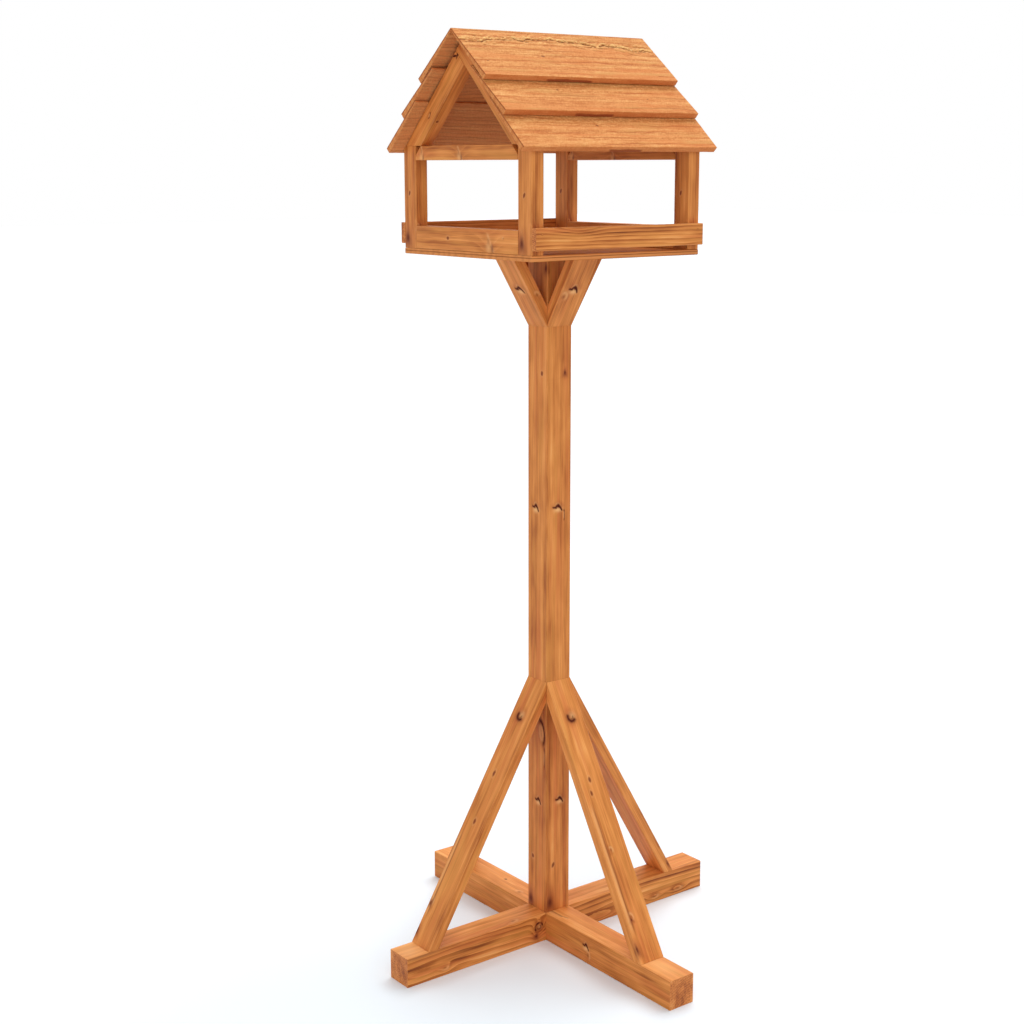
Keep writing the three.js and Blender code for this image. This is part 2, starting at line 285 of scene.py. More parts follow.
@dataclass(frozen=True)
class Layer:
    """A layer of noise in a finish.

    Attributes:
        size: The size of one grain of it along the three axes, in millimetres.
        salt: Tells it from the finish's other layers.
        detail: How many finer layers it holds.
        weight: How much it counts, or how far it shakes a place, in millimetres.
    """

    size: tuple[float, float, float]
    salt: float = 0.0
    detail: float = 2.0
    weight: float = 1.0


class Recipe(NodeTree):
    """Writes one material, node by node."""

    def __init__(self, name: str) -> None:
        """Starts a material that holds one plain shader.

        Args:
            name: The material's name.
        """
        self.material = bpy.data.materials.new(name)
        self.material.use_nodes = True
        super().__init__(self.material.node_tree)
        self.shader = self.tree.nodes["Principled BSDF"]

    def object_place(self) -> Place:
        """Gives the place in the model's own axes, in metres."""
        return Place(self, self.node("ShaderNodeTexCoord", {}).outputs["Object"])

    def facing_along(self, way: Vector) -> Term:
        """Compares the way that the surface faces with another.

        Args:
            way: The other way.

        Returns:
            One where they are the same, and minus one where they are opposite.
        """
        normal = self.node("ShaderNodeTexCoord", {}).outputs["Normal"]
        inputs = {0: Place(self, normal), 1: tuple(way)}
        node = self.node("ShaderNodeVectorMath", inputs, operation="DOT_PRODUCT")
        return Term(self, node.outputs["Value"])

    def noise_node(self, place: Place, layer: Layer, seed: float) -> bpy.types.Node:
        """Adds a node of noise.

        Args:
            place: Where it is read, in millimetres.
            layer: What the noise is like.
            seed: Picks one of many like patterns.

        Returns:
            The node.
        """
        stretched = place.scaled(*(1 / size for size in layer.size))
        inputs = {"Vector": stretched, "W": seed + layer.salt, "Scale": 1.0, "Detail": layer.detail}
        return self.node("ShaderNodeTexNoise", inputs, noise_dimensions="4D")

    def grown(self, place: Place, layer: Layer, seed: float = 0.0) -> Term:
        """Gives a layer of noise as a number about zero, mostly within a quarter of the layer's weight."""
        about_zero = Term(self, self.noise_node(place, layer, seed).outputs[0]) - 0.5
        return about_zero if layer.weight == 1.0 else about_zero * layer.weight

    def frayed(self, place: Place, layer: Layer, seed: float) -> Place:
        """Shakes a place by a layer of noise, so that a form read from it gets a ragged outline."""
        shake = Place(self, self.noise_node(place, layer, seed).outputs["Color"])
        return place.plus(shake.moved(-0.5, -0.5, -0.5).scaled(*(layer.weight,) * 3))

    def mark(self, name: str) -> Term:
        """Reads a number that the mesh carries."""
        return Term(self, self.node("ShaderNodeAttribute", {}, attribute_name=name).outputs["Fac"])

    def relief(self, height: Term, distance: float) -> None:
        """Presses a height into the shader's normal, where one stands for a distance in metres."""
        node = self.node("ShaderNodeBump", {"Strength": 1.0, "Distance": distance, "Height": height})
        self.tree.links.new(node.outputs["Normal"], self.shader.inputs["Normal"])

    def finish(
            self, colour: Place, roughness: Value, gloss: float = 0.2,
            metallic: float = 0.0) -> bpy.types.Material:
        """Wires the shader and gives the material.

        Args:
            colour: The surface's colour.
            roughness: The surface's roughness.
            gloss: How much light the surface mirrors, where a half is a varnish.
            metallic: One for a bare metal, or zero.

        Returns:
            The finished material.
        """
        self.wire(colour, self.shader.inputs["Base Color"])
        self.wire(roughness, self.shader.inputs["Roughness"])
        self.shader.inputs["Specular IOR Level"].default_value = gloss
        self.shader.inputs["Metallic"].default_value = metallic
        return self.material


@dataclass(frozen=True)
class Lie:
    """How a piece lies: its own axes, its middle and its half sizes, in metres.

    Attributes:
        turn: Turns the model's axes to the piece's own: outward, aside and run.
        middle: The piece's middle.
        half: Half its size along its own axes.
    """

    turn: Matrix
    middle: Vector
    half: Vector

    @classmethod
    def of(cls, node: str, run: Vector, outward: Vector) -> "Lie":
        """Measures a solid.

        Args:
            node: The solid's name.
            run: The way that its grain runs.
            outward: The way that its main face looks.

        Returns:
            How the solid lies.
        """
        run = run.normalized()
        outward = (outward - run * outward.dot(run)).normalized()
        turn = Matrix((outward, run.cross(outward), run))
        places = [turn @ vertex.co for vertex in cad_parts[node].data.vertices]
        low = Vector(min(place[axis] for place in places) for axis in range(3))
        high = Vector(max(place[axis] for place in places) for axis in range(3))
        return cls(turn, turn.transposed() @ ((low + high) / 2), (high - low) / 2)

    @property
    def run(self) -> Vector:
        """The way that the grain runs."""
        return self.turn[2].copy()

    def local(self, place: Vector) -> Vector:
        """Gives a place in the piece's own axes, in millimetres from its middle."""
        return (self.turn @ (place - self.middle)) * TO_MM

    def world(self, place: Vector) -> Vector:
        """Gives the place in the model of a place in the piece's own axes, in millimetres."""
        return self.turn.transposed() @ (place * MM) + self.middle

    def read(self, recipe: Recipe) -> Place:
        """Reads the place on the piece in a material.

        Args:
            recipe: The material.

        Returns:
            The place in the piece's own axes, in millimetres from its middle.
        """
        inputs = {
            "Vector": recipe.object_place(),
            "Location": -(self.turn @ self.middle) * TO_MM,
            "Rotation": self.turn.to_euler(),
            "Scale": (TO_MM, TO_MM, TO_MM),
        }
        return Place(recipe, recipe.node("ShaderNodeMapping", inputs).outputs["Vector"])


def facing(node: str, way: Vector) -> Vector:
    """Finds which way a solid's broad face looks.

    Args:
        node: The solid's name.
        way: Roughly the way that the face looks.

    Returns:
        The face's normal.
    """
    faces = [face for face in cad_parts[node].data.polygons if face.normal.dot(way.normalized()) > 0.5]
    return max(faces, key=lambda face: face.area).normal.copy()


class Face(Enum):
    """A long face of a timber, in the timber's own axes."""

    FRONT = (0, 1)
    REAR = (0, -1)
    ASIDE = (1, 1)
    OPPOSITE = (1, -1)

    @property
    def hand(self) -> int:
        """One where the other axis points right while the run points up, or else minus one."""
        axis, side = self.value
        return side if axis == 0 else -side


class KnotKind(Enum):
    """What a knot looks like."""

    ARCH = "a dark bow with a hook over a cream heart"
    RING = "dark curls round a pale swirl"
    SMUDGE = "a soft dark red patch"
    SLIT = "a long pale eye with a dark line along its right side"
    EYE = "a soft red dot in a pale crescent"
    SPLIT = "a pale curve and a pale patch between two brown flecks"
    GROOVE = "a long groove, pale with a brown right side"
    PIN = "a small dark dot"
    CRACK = "a black crack"
    CURL = "a pale swirl with a dark curl round its lower left"
    # A soft pale patch of painted light.
    PATCH = "a soft pale patch"
    HIDDEN = "nothing but grain that bends round it"


@dataclass(frozen=True)
class Marks:
    """What the knots of a timber do to its face, as terms.

    Attributes:
        dark: Where the wood is almost black.
        cream: Where it is bare and pale, and where a patch of painted light lies.
        halo: Where it is reddish.
        smear: Where it is a soft dark red.
        push: How far the growth rings are pushed, in millimetres.
    """

    dark: Value = 0.0
    cream: Value = 0.0
    halo: Value = 0.0
    smear: Value = 0.0
    push: Value = 0.0

    def with_knot(self, knot: "Marks", near: Term) -> "Marks":
        """Adds a knot's marks to these.

        Args:
            knot: The knot's own marks.
            near: How near the knot's face a place lies, from zero to one.

        Returns:
            All the marks.
        """
        layers = {}
        for layer in ("dark", "cream", "halo", "smear"):
            mine, new = getattr(self, layer), getattr(knot, layer)
            layers[layer] = (new * near).greater(mine) if isinstance(new, Term) else mine
        return Marks(push=knot.push * near + self.push, **layers)


@dataclass(frozen=True)
class Spot:
    """A place on a knot, counted from its middle in its own radii, with what knots draw there.

    Attributes:
        right: How far right of the middle the place lies.
        up: How far up the grain from the middle it lies.
        reach: How far from the middle it lies.
    """

    right: Term
    up: Term
    reach: Term

    def arch(self) -> Marks:
        """Draws a chevron with a thick right leg, a hooked left one and a cream heart under it.

        Returns:
            The knot's marks.
        """
        right, up, reach = self.right, self.up, self.reach
        bow = (right + 0.08) * (right + 0.08) * 1.5 + up
        leg = ((bow - 0.6) * 2.1).bell() * right.step(-0.35, -0.05) * up.step(-1.0, -0.6)
        link = ((bow - 0.6) * 2.8).bell() * right.step(0.15, -0.1) * right.step(-0.8, -0.45)
        hook = ((up - 0.06 + right * 0.2) * 3.6).bell() * right.step(-1.4, -1.0) * right.step(-0.05, -0.4)
        dark = (leg * 1.3).greater(hook * 1.1).greater(link * 1.1)
        heart = ((right - 0.02) * 1.15).bell() * ((up + 0.42) * 1.6).bell()
        outline = ((bow - 1.25) * 3.6).bell() * right.size().step(1.0, 0.5) * 0.3
        halo = reach.step(2.3, 0.9) * up.step(-0.7, 0.5)
        return Marks(dark=dark, cream=(heart * 0.95).greater(outline), halo=halo)

    def ring(self) -> Marks:
        """Draws dark curls round a pale swirl.

        Returns:
            The knot's marks.
        """
        right, up, reach = self.right, self.up, self.reach
        outer = (reach - 0.95).size().step(0.32, 0.1) * (up - right * 0.5).step(-0.8, 0.0)
        inner = (reach - 0.45).size().step(0.22, 0.06) * (right * 0.8 - up).step(-0.5, 0.1)
        swirl = ((right - 0.15) * 1.9).bell() * ((up - 0.1) * 2.3).bell()
        mottle = (right * 5.3 + up * 2.1).wave() * 0.22 + (up * 6.1 - right * 2.7).wave() * 0.22 + 0.72
        return Marks(
            dark=outer.greater(inner * 0.9) * mottle, cream=swirl * 0.7,
            halo=reach.step(2.2, 0.9), smear=reach.step(1.2, 0.8) * 0.4)

    def smudge(self) -> Marks:
        """Draws a soft dark red patch."""
        soft = (self.right * (self.up + 2.2) * 0.5).bell() * (self.up * 0.85).bell()
        return Marks(halo=self.reach.step(3.2, 1.0), smear=soft, dark=(self.reach * 1.9).bell() * 0.5)

    def slit(self) -> Marks:
        """Draws a long pale eye with a dark line along its right side.

        Returns:
            The knot's marks.
        """
        edge = ((self.reach - 0.95) * 3.6).bell() * (self.right + self.up * 0.25).step(-0.75, 0.5)
        vein = (self.right * 7.0).bell() * (self.up * 1.9).bell() * 0.4
        pale = self.reach.step(0.95, 0.6) * 0.4
        return Marks(dark=edge.greater(vein), cream=pale, halo=self.reach.step(1.6, 1.0))

    def eye(self) -> Marks:
        """Draws a soft red dot in a pale crescent.

        Returns:
            The knot's marks.
        """
        crescent = ((self.reach - 0.8) * 2.8).bell() * (self.right + self.up).step(-0.8, 0.9)
        dot = ((self.reach + 0.1) * 2.2).bell() * 0.62
        return Marks(smear=dot, cream=crescent * 0.5, halo=self.reach.step(1.9, 0.9) * 0.5)

    def split(self) -> Marks:
        """Draws a pale curve and a pale patch between two brown flecks.

        Returns:
            The knot's marks.
        """
        right, up = self.right, self.up
        curve = ((right + up * 0.45 - 0.25) * 5.0).bell() * up.size().step(1.25, 0.8) * 0.45
        patch = ((right + 0.12) * 2.3).bell() * ((up + 0.4) * 1.7).bell() * 0.62
        fleck = ((right - 0.52) * 4.6).bell() * ((up + 0.6) * 1.9).bell() * 0.8
        dot = ((right + 0.08) * 4.2).bell() * ((up - 0.2) * 2.8).bell() * 0.4
        halo = self.reach.step(1.6, 0.8) * 0.3
        return Marks(smear=fleck.greater(dot), cream=curve.greater(patch), halo=halo)

    def groove(self) -> Marks:
        """Draws a long groove, pale with a brown right side.

        Returns:
            The knot's marks.
        """
        fade = self.up.size().step(1.0, 0.75)
        pale = ((self.right + 0.3) * 1.7).bell() * fade * 0.5
        return Marks(cream=pale, smear=((self.right - 0.6) * 2.6).bell() * fade * 0.62)

    def pin(self) -> Marks:
        """Draws a small dark dot in a faint pale ring.

        Returns:
            The knot's marks.
        """
        dark = self.reach.step(1.2, 0.4) * 0.25
        smear = self.reach.step(1.4, 0.6) * 0.8
        pale = ((self.reach - 1.6) * 2.6).bell() * 0.2
        return Marks(dark=dark, smear=smear, cream=pale, halo=self.reach.step(2.6, 1.0) * 0.6)

    def curl(self) -> Marks:
        """Draws a pale swirl with a dark curl round its lower left.

        Returns:
            The knot's marks.
        """
        right, up, reach = self.right, self.up, self.reach
        curl = ((reach - 0.72) * 2.7).bell() * (up * 0.8 + right * 0.6).step(0.4, -0.15)
        inner = ((reach - 0.3) * 5.0).bell() * (right - up).step(-0.1, 0.3) * 0.6
        swirl = ((right - 0.3) * 1.5).bell() * ((up - 0.25) * 1.6).bell()
        return Marks(
            dark=curl.greater(inner), cream=swirl * 0.8, halo=reach.step(2.4, 0.9),
            smear=reach.step(1.1, 0.7) * 0.25)

    def patch(self) -> Marks:
        """Draws a soft pale patch, as painted light."""
        return Marks(cream=(self.reach * 1.1).bell() * 0.55)

    def crack(self) -> Marks:
        """Draws a black crack."""
        return Marks(dark=self.reach.step(1.2, 0.5), halo=self.reach.step(2.2, 1.0) * 0.4)

    def hidden(self) -> Marks:
        """Draws nothing, so that only the growth rings bend round the knot."""
        return Marks()


DRAWINGS: dict[KnotKind, Callable[[Spot], Marks]] = {
    KnotKind.ARCH: Spot.arch,
    KnotKind.RING: Spot.ring,
    KnotKind.SMUDGE: Spot.smudge,
    KnotKind.SLIT: Spot.slit,
    KnotKind.EYE: Spot.eye,
    KnotKind.SPLIT: Spot.split,
    KnotKind.GROOVE: Spot.groove,
    KnotKind.PIN: Spot.pin,
    KnotKind.CRACK: Spot.crack,
    KnotKind.CURL: Spot.curl,
    KnotKind.PATCH: Spot.patch,
    KnotKind.HIDDEN: Spot.hidden,
}


@dataclass(frozen=True)
class Knot:
    """A knot in one face of a timber.

    Attributes:
        face: The face that it shows in.
        along: Its place along the timber, from the middle, in millimetres.
        across: Its place across the face, from the middle, in millimetres.
        radius: Its radius across the grain, in millimetres.
        kind: What it looks like.
        stretch: How many times longer it is than wide.
        turn: How far it is turned on the face, in degrees.
        push: How far it pushes the growth rings, as a share of its radius.
        depth: How deep it goes, in millimetres.
    """

    face: Face
    along: float
    across: float
    radius: float
    kind: KnotKind
    stretch: float = 1.0
    turn: float = 0.0
    push: float = 0.8
    depth: float = 4.0

    def drawn(self, place: Place, frayed: Place, half: Vector, marks: Marks) -> Marks:
        """Draws the knot over the marks so far.

        Args:
            place: The place on the timber, in millimetres.
            frayed: The same place, shaken.
            half: Half the timber's size along its own axes, in metres.
            marks: What the knots before this one draw.

        Returns:
            The marks with this knot in them.
        """
        axis, side = self.face.value
        other = 1 - axis
        middle = [0.0, 0.0, self.along]
        middle[other] = self.across
        scale = [TO_MM, TO_MM, self.radius * self.stretch]
        scale[other] = self.radius * self.face.hand
        turn = [0.0, 0.0, 0.0]
        turn[axis] = math.radians(self.turn)
        recipe = place.recipe
        inputs = {"Vector": frayed, "Location": middle, "Rotation": turn, "Scale": scale}
        node = recipe.node("ShaderNodeMapping", inputs, vector_type="TEXTURE")
        spot = Place(recipe, node.outputs["Vector"])
        under_face = half[axis] * TO_MM - place.parts()[axis] * side
        near = under_face.step(self.depth * 1.5, self.depth * 0.75)
        reach = spot.reach()
        parts = spot.parts()
        drawing = DRAWINGS[self.kind](Spot(parts[other], parts[2], reach))
        push = (reach * 0.6).bell() * (self.push * self.radius)
        return marks.with_knot(replace(drawing, push=push), near)


@dataclass(frozen=True)
class Grain:
    """How the growth rings run through one timber, in millimetres and in its own axes.

    Attributes:
        pith_outward: The pith's place outward of the timber's middle.
        pith_aside: The pith's place aside of the timber's middle.
        ring: The width of a growth ring.
        wander: How far the rings stray along the timber.
        depth: How dark the late wood of each ring is, from zero to one.
        crisp: How sharply each ring ends, from zero to one.
        seed: Picks the timber's own noise.
        shade: Makes the whole timber paler above zero, darker below it.
    """

    pith_outward: float = -38.0
    pith_aside: float = 24.0
    ring: float = 9.0
    wander: float = 26.0
    depth: float = 0.14
    crisp: float = 0.35
    seed: float = 0.0
    shade: float = 0.0

    def sown(self, step: float) -> "Grain":
        """Gives a like grain with noise of its own."""
        return replace(self, seed=self.seed + step)


@dataclass(frozen=True)
class StainedTimber:
    """Planed softwood under an orange-brown satin stain.

    Attributes:
        tones: The stain's colours from the darkest wood to the palest.
        red: The redder stain that some of the wood takes.
        gold: The yellower stain that some of the wood takes.
        halo: The stain round a knot.
        smear: The stain on a knot that lies just under the face.
        knot: A dead knot's colour.
        cream: A sound knot's heart, also the colour of the patches of painted light.
        end: The stain on end grain.
        arris: The colour of a rubbed edge: partly wear, partly a painted highlight along the edge.
        long_knot: How many times longer than wide a knot is whose outline stays smooth.
        end_reach: How far from a timber's middle its end grain is palest, in millimetres.
        fray: The ragged outline of a knot.
        long_fray: The wavy outline of a long knot.
        sway: How the growth rings stray, before the grain's own wander.
        ripple: How they ripple, as a share of a ring.
        stripe: The long streaks.
        cloud: The soft clouds.
        fibre: The fine fibres.
        yellowing: Where the stain is yellower.
        reddening: Where the stain is redder.
        rubbing: Where an edge is rubbed and carries its painted highlight.
        speckle: The speckles of end grain.
        end_patch: The patches of end grain.
        end_crack: The cracks of end grain.
        head_cloud: The clouds on a metal head that is stained over.
        fibre_tone: How much the fibres count in the tone.
        painted_top_light: How much paler a face that looks up is painted, as painted light from above.
        relief_depth: How deep the grain is.
        head_relief: How uneven the stain on a metal head is.
    """

    tones: tuple[tuple[float, Colour], ...] = (
        (0.0, srgb(104, 48, 16)),
        (0.25, srgb(168, 92, 38)),
        (0.5, srgb(208, 129, 62)),
        (0.75, srgb(232, 152, 80)),
        (1.0, srgb(248, 186, 112)),
    )
    red: Colour = srgb(208, 114, 60)
    gold: Colour = srgb(210, 140, 66)
    halo: Colour = srgb(176, 92, 46)
    smear: Colour = srgb(112, 46, 24)
    knot: Colour = srgb(78, 22, 3)
    cream: Colour = srgb(244, 186, 122)
    end: Colour = srgb(184, 104, 66)
    arris: Colour = srgb(234, 160, 92)
    long_knot: float = 6.0
    end_reach: float = 22.0
    fray: Layer = Layer((2.8, 2.8, 4.0), weight=1.9)
    long_fray: Layer = Layer((9.0, 9.0, 46.0), 0.5, weight=2.6)
    sway: Layer = Layer((70.0, 70.0, 340.0), 1.0)
    ripple: Layer = Layer((14.0, 14.0, 90.0), 2.0)
    stripe: Layer = Layer((8.0, 8.0, 420.0), 3.0, 3.0)
    cloud: Layer = Layer((24.0, 24.0, 75.0), 4.0, weight=0.8)
    fibre: Layer = Layer((1.3, 1.3, 46.0), 5.0, 3.0)
    yellowing: Layer = Layer((12.0, 12.0, 160.0), 6.0)
    reddening: Layer = Layer((10.0, 10.0, 300.0), 7.0)
    rubbing: Layer = Layer((5.0, 5.0, 26.0), 8.0, weight=1.4)
    speckle: Layer = Layer((1.7, 1.7, 4.0), 9.0, 3.0, 1.6)
    end_patch: Layer = Layer((9.0, 14.0, 20.0), 10.0, weight=1.5)
    end_crack: Layer = Layer((1.1, 13.0, 20.0), 11.0)
    head_cloud: Layer = Layer((1.2, 1.2, 1.2), 7.0, 3.0)
    fibre_tone: float = 0.66
    painted_top_light: float = 0.19
    relief_depth: float = 0.09 * MM
    head_relief: float = 0.05 * MM

    def material(self, name: str, lie: Lie, grain: Grain, knots: tuple[Knot, ...]) -> bpy.types.Material:
        """Makes the finish of one timber.

        Args:
            name: The material's name.
            lie: How the timber lies.
            grain: How its growth rings run.
            knots: Its knots.

        Returns:
            The material.
        """
        recipe = Recipe(name)
        place = lie.read(recipe)
        seed = grain.seed
        frayed = recipe.frayed(place, self.fray, seed)
        smooth = recipe.frayed(place, self.long_fray, seed)
        marks = Marks()
        for knot in knots:
            is_long = knot.stretch > self.long_knot
            marks = knot.drawn(place, smooth if is_long else frayed, lie.half, marks)

        from_pith = place.moved(-grain.pith_outward, -grain.pith_aside).scaled(1.0, 1.0, 0.0).reach()
        sway = recipe.grown(place, self.sway, seed) * grain.wander
        ripple = recipe.grown(place, self.ripple, seed) * (0.6 * grain.ring)
        phase = (from_pith + sway + ripple + marks.push) / grain.ring
        rings = phase.fraction()
        sharp = rings.step(0.35, 0.88) * rings.step(1.0, 0.93) - rings.step(0.14, 0.0) * 0.4
        swell = 0.5 - (phase * math.tau).wave() * 0.5
        late = sharp * grain.crisp + swell * (1.0 - grain.crisp)

        fibre = recipe.grown(place, self.fibre, seed)
        streaks = recipe.grown(place, self.stripe, seed) + recipe.grown(place, self.cloud, seed)
        tone = streaks + fibre * self.fibre_tone + (0.5 + grain.shade)
        # Faces that look up are painted paler, as painted light from above, and their rings are painted
        # fainter.
        painted_top_light_share = recipe.facing_along(UP).step(0.6, 0.95)
        tone = tone + painted_top_light_share * self.painted_top_light - (late - 0.5) * (1.0 - painted_top_light_share * 0.6) * grain.depth
        redness = recipe.grown(place, self.reddening, seed).step(0.0, 0.2) * 0.5
        yellowness = recipe.grown(place, self.yellowing, seed).step(0.04, 0.2) * 0.5
        on_end = recipe.facing_along(lie.run).size().step(0.72, 0.92)
        # Rounded long edges are paler: partly wear, partly a painted highlight.
        wear_and_painted_highlight = recipe.grown(place, self.rubbing, seed) + 0.2
        colour = recipe.layered(
            recipe.tones(tone, self.tones),
            (redness, self.red),
            (yellowness, self.gold),
            (marks.halo * 0.45, self.halo),
            (marks.cream * 0.92, self.cream),
            (marks.smear * 0.9, self.smear),
            (marks.dark, self.knot),
            (on_end * 0.9, self.end_colour(recipe, place, phase, seed)),
            (recipe.mark("arris") * wear_and_painted_highlight, self.arris),
        )
        height = fibre * 0.8 + late * 0.4 - marks.dark * 1.6 + marks.cream * 0.8
        recipe.relief(height, self.relief_depth)
        return recipe.finish(colour, fibre * 0.25 + late * 0.05 + (marks.dark * 0.3 + 0.5))

    def over_metal(self, name: str) -> bpy.types.Material:
        """Makes the finish of a small metal head that is stained over.

        Args:
            name: The material's name.

        Returns:
            The material.
        """
        recipe = Recipe(name)
        place = recipe.object_place().scaled(TO_MM, TO_MM, TO_MM)
        cloud = recipe.grown(place, self.head_cloud)
        recipe.relief(cloud, self.head_relief)
        return recipe.finish(recipe.tones(cloud * 1.2 + 0.38, self.tones), cloud * 0.3 + 0.5)

    def end_colour(self, recipe: Recipe, place: Place, phase: Term, seed: float) -> Place:
        """Gives the colour of a sawn end, with soft growth rings, speckles and small cracks.

        Args:
            recipe: The material.
            place: The place on the timber, in millimetres.
            phase: How many growth rings lie between the place and the pith.
            seed: Picks the timber's own noise.

        Returns:
            The colour.
        """
        arcs = (phase * (2.0 * math.tau)).wave()
        grit = recipe.grown(place, self.speckle, seed) + recipe.grown(place, self.end_patch, seed)
        from_axis = place.scaled(1.0, 1.0, 0.0).reach() / self.end_reach
        tone = grit + arcs * 0.1 + from_axis * 0.36 + 0.22
        crack = recipe.grown(place, self.end_crack, seed).step(0.12, 0.24)
        return recipe.layered(recipe.tones(tone, self.tones), (0.3, self.end), (crack * 0.7, self.smear))


@dataclass(frozen=True)
class SawnBoard:
    """Rough sawn softwood under the same stain, matt.

    Attributes:
        tones: The stain's colours from the darkest wood to the palest.
        orange: The stain on some bands of the board.
        line: The thin wavy lines along the grain.
        pip: Small dark knots.
        torn: Bare fibres where the saw tore the wood, paler partly as a painted highlight on the raised
            lips.
        painted_tear_shadow: Painted shadow under and among the torn fibres.
        edge: The stain on the board's sawn edges and ends.
        streak: The dark streak in the thick edge.
        under: Painted light on the side that faces down: a duller colour set to how bright that side looks.
        under_line: The growth rings on that side.
        olive: The stain on other bands.
        painted_lap_shade: Painted shade close under the board above.
        painted_lap_shade_reach: How far down from that board the painted shade goes, in millimetres.
        rim_depth: How far down from the top a board's end is darkest, in millimetres.
        streak_depth: How far down from the top the dark streak lies, in millimetres.
        ring: The width of a growth ring, in millimetres.
        sway: How the rings stray, with how far as its weight, in millimetres.
        ripple: How they ripple, with how far as its weight, in millimetres.
        breaks: Where the wavy lines break off.
        band: The fine bands along the grain.
        dash: The short dashes along the grain.
        fleck: The specks.
        cloud: The soft clouds.
        saw: The saw's marks.
        orange_bands: Where the stain is orange.
        olive_bands: Where the stain is olive.
        fray: The ragged outline of a knot, with how far it strays as its weight, in millimetres.
        saw_slant: How far the saw's marks slant, as a share of the way across the board.
        relief_depth: How deep the grain is.
    """

    tones: tuple[tuple[float, Colour], ...] = (
        (0.0, srgb(188, 108, 50)),
        (0.28, srgb(206, 130, 68)),
        (0.52, srgb(222, 152, 88)),
        (0.78, srgb(234, 170, 102)),
        (1.0, srgb(246, 198, 130)),
    )
    orange: Colour = srgb(222, 132, 70)
    line: Colour = srgb(184, 98, 44)
    pip: Colour = srgb(120, 56, 24)
    torn: Colour = srgb(255, 216, 140)
    painted_tear_shadow: Colour = srgb(128, 72, 28)
    edge: Colour = srgb(206, 118, 64)
    streak: Colour = srgb(142, 64, 28)
    under: Colour = srgb(214, 144, 90)
    under_line: Colour = srgb(142, 82, 44)
    olive: Colour = srgb(212, 156, 88)
    painted_lap_shade: Colour = srgb(160, 106, 56)
    painted_lap_shade_reach: float = 14.0
    rim_depth: float = 2.8
    streak_depth: float = 5.0
    ring: float = 13.0
    sway: Layer = Layer((60.0, 50.0, 170.0), 1.0, 3.0, 26.0)
    ripple: Layer = Layer((8.0, 8.0, 20.0), 2.0, weight=4.0)
    breaks: Layer = Layer((10.0, 8.0, 120.0), 3.0)
    band: Layer = Layer((40.0, 4.6, 220.0), 10.0, 3.0, 1.35)
    dash: Layer = Layer((2.0, 2.2, 24.0), 4.0, 3.0)
    fleck: Layer = Layer((1.8, 1.6, 4.0), 5.0, 3.0)
    cloud: Layer = Layer((30.0, 16.0, 60.0), 6.0, weight=0.45)
    saw: Layer = Layer((40.0, 9.0, 2.0), 7.0)
    orange_bands: Layer = Layer((40.0, 9.0, 260.0), 8.0)
    olive_bands: Layer = Layer((30.0, 11.0, 110.0), 11.0)
    fray: Layer = Layer((1.6, 1.6, 2.4), weight=1.4)
    saw_slant: float = 0.58
    relief_depth: float = 0.55 * MM

    def material(
            self, name: str, lie: Lie, seed: float, course: "Course", lap: float) -> bpy.types.Material:
        """Makes the finish of one roof board.

        Args:
            name: The material's name.
            lie: How the board lies.
            seed: Picks the board's own noise.
            course: Which board of its slope it is.
            lap: Where the board above ends on this one, aside of the middle, in millimetres.

        Returns:
            The material.
        """
        recipe = Recipe(name)
        place = lie.read(recipe)
        outward, aside, run = place.parts()
        top, half_width, _ = lie.half * TO_MM

        sway, ripple = (recipe.grown(place, layer, seed) for layer in (self.sway, self.ripple))
        rings = ((aside + outward * 0.5 + sway + ripple) / self.ring).fraction()
        broken = recipe.grown(place, self.breaks, seed).step(-0.1, 0.1)
        line = (rings - 0.5).size().step(0.09, 0.02) * broken
        dash = recipe.grown(place, self.dash, seed)
        fleck = recipe.grown(place, self.fleck, seed)
        saw = recipe.grown(self.slanted(recipe, place), self.saw, seed)
        tone = recipe.grown(place, self.band, seed) + dash * 1.3 + fleck * 1.2 + saw * 0.6
        tone = tone + recipe.grown(place, self.cloud, seed) + (0.49 + course.shade)
        tone = tone - (rings.step(0.0, 0.5) * rings.step(1.0, 0.5) - 0.3) * 0.14
        orange = recipe.grown(place, self.orange_bands, seed).step(-0.05, 0.13)
        low = aside.step(-half_width * 0.1, half_width)
        dull = recipe.grown(place, self.olive_bands, seed).step(0.02, 0.18)
        # Painted shade close under the lap of the board above, broken up by the specks.
        painted_lap_shade_share = aside.step(lap + self.painted_lap_shade_reach, lap + 1.0)
        pit = fleck.step(0.19, 0.33) * 0.35
        marks = Marks()
        frayed = recipe.frayed(place, self.fray, seed)
        for pip in course.pips:
            marks = pip.drawn(place, frayed, lie.half, marks)
        # Along the tear, pale lips are bare wood with a painted highlight, and dark furrows are painted
        # shadow.
        ragged, torn = recipe.mark("ragged"), recipe.mark("torn")
        rough = dash + fleck
        colour = recipe.layered(
            recipe.tones(tone, self.tones),
            (orange * 0.42 + low * 0.24, self.orange),
            (dull * 0.5, self.olive),
            (line * 0.72, self.line),
            (painted_lap_shade_share * (0.3 - fleck * 1.5), self.painted_lap_shade),
            (pit.greater(marks.smear), self.pip),
            (ragged * rough.step(0.0, 0.3) * 0.75, self.torn),
            (ragged * rough.step(-0.08, -0.36) * 0.5, self.painted_tear_shadow),
            (torn.step(0.0, 0.8), self.torn),
            (torn.step(0.0, -0.8), self.painted_tear_shadow),
        )

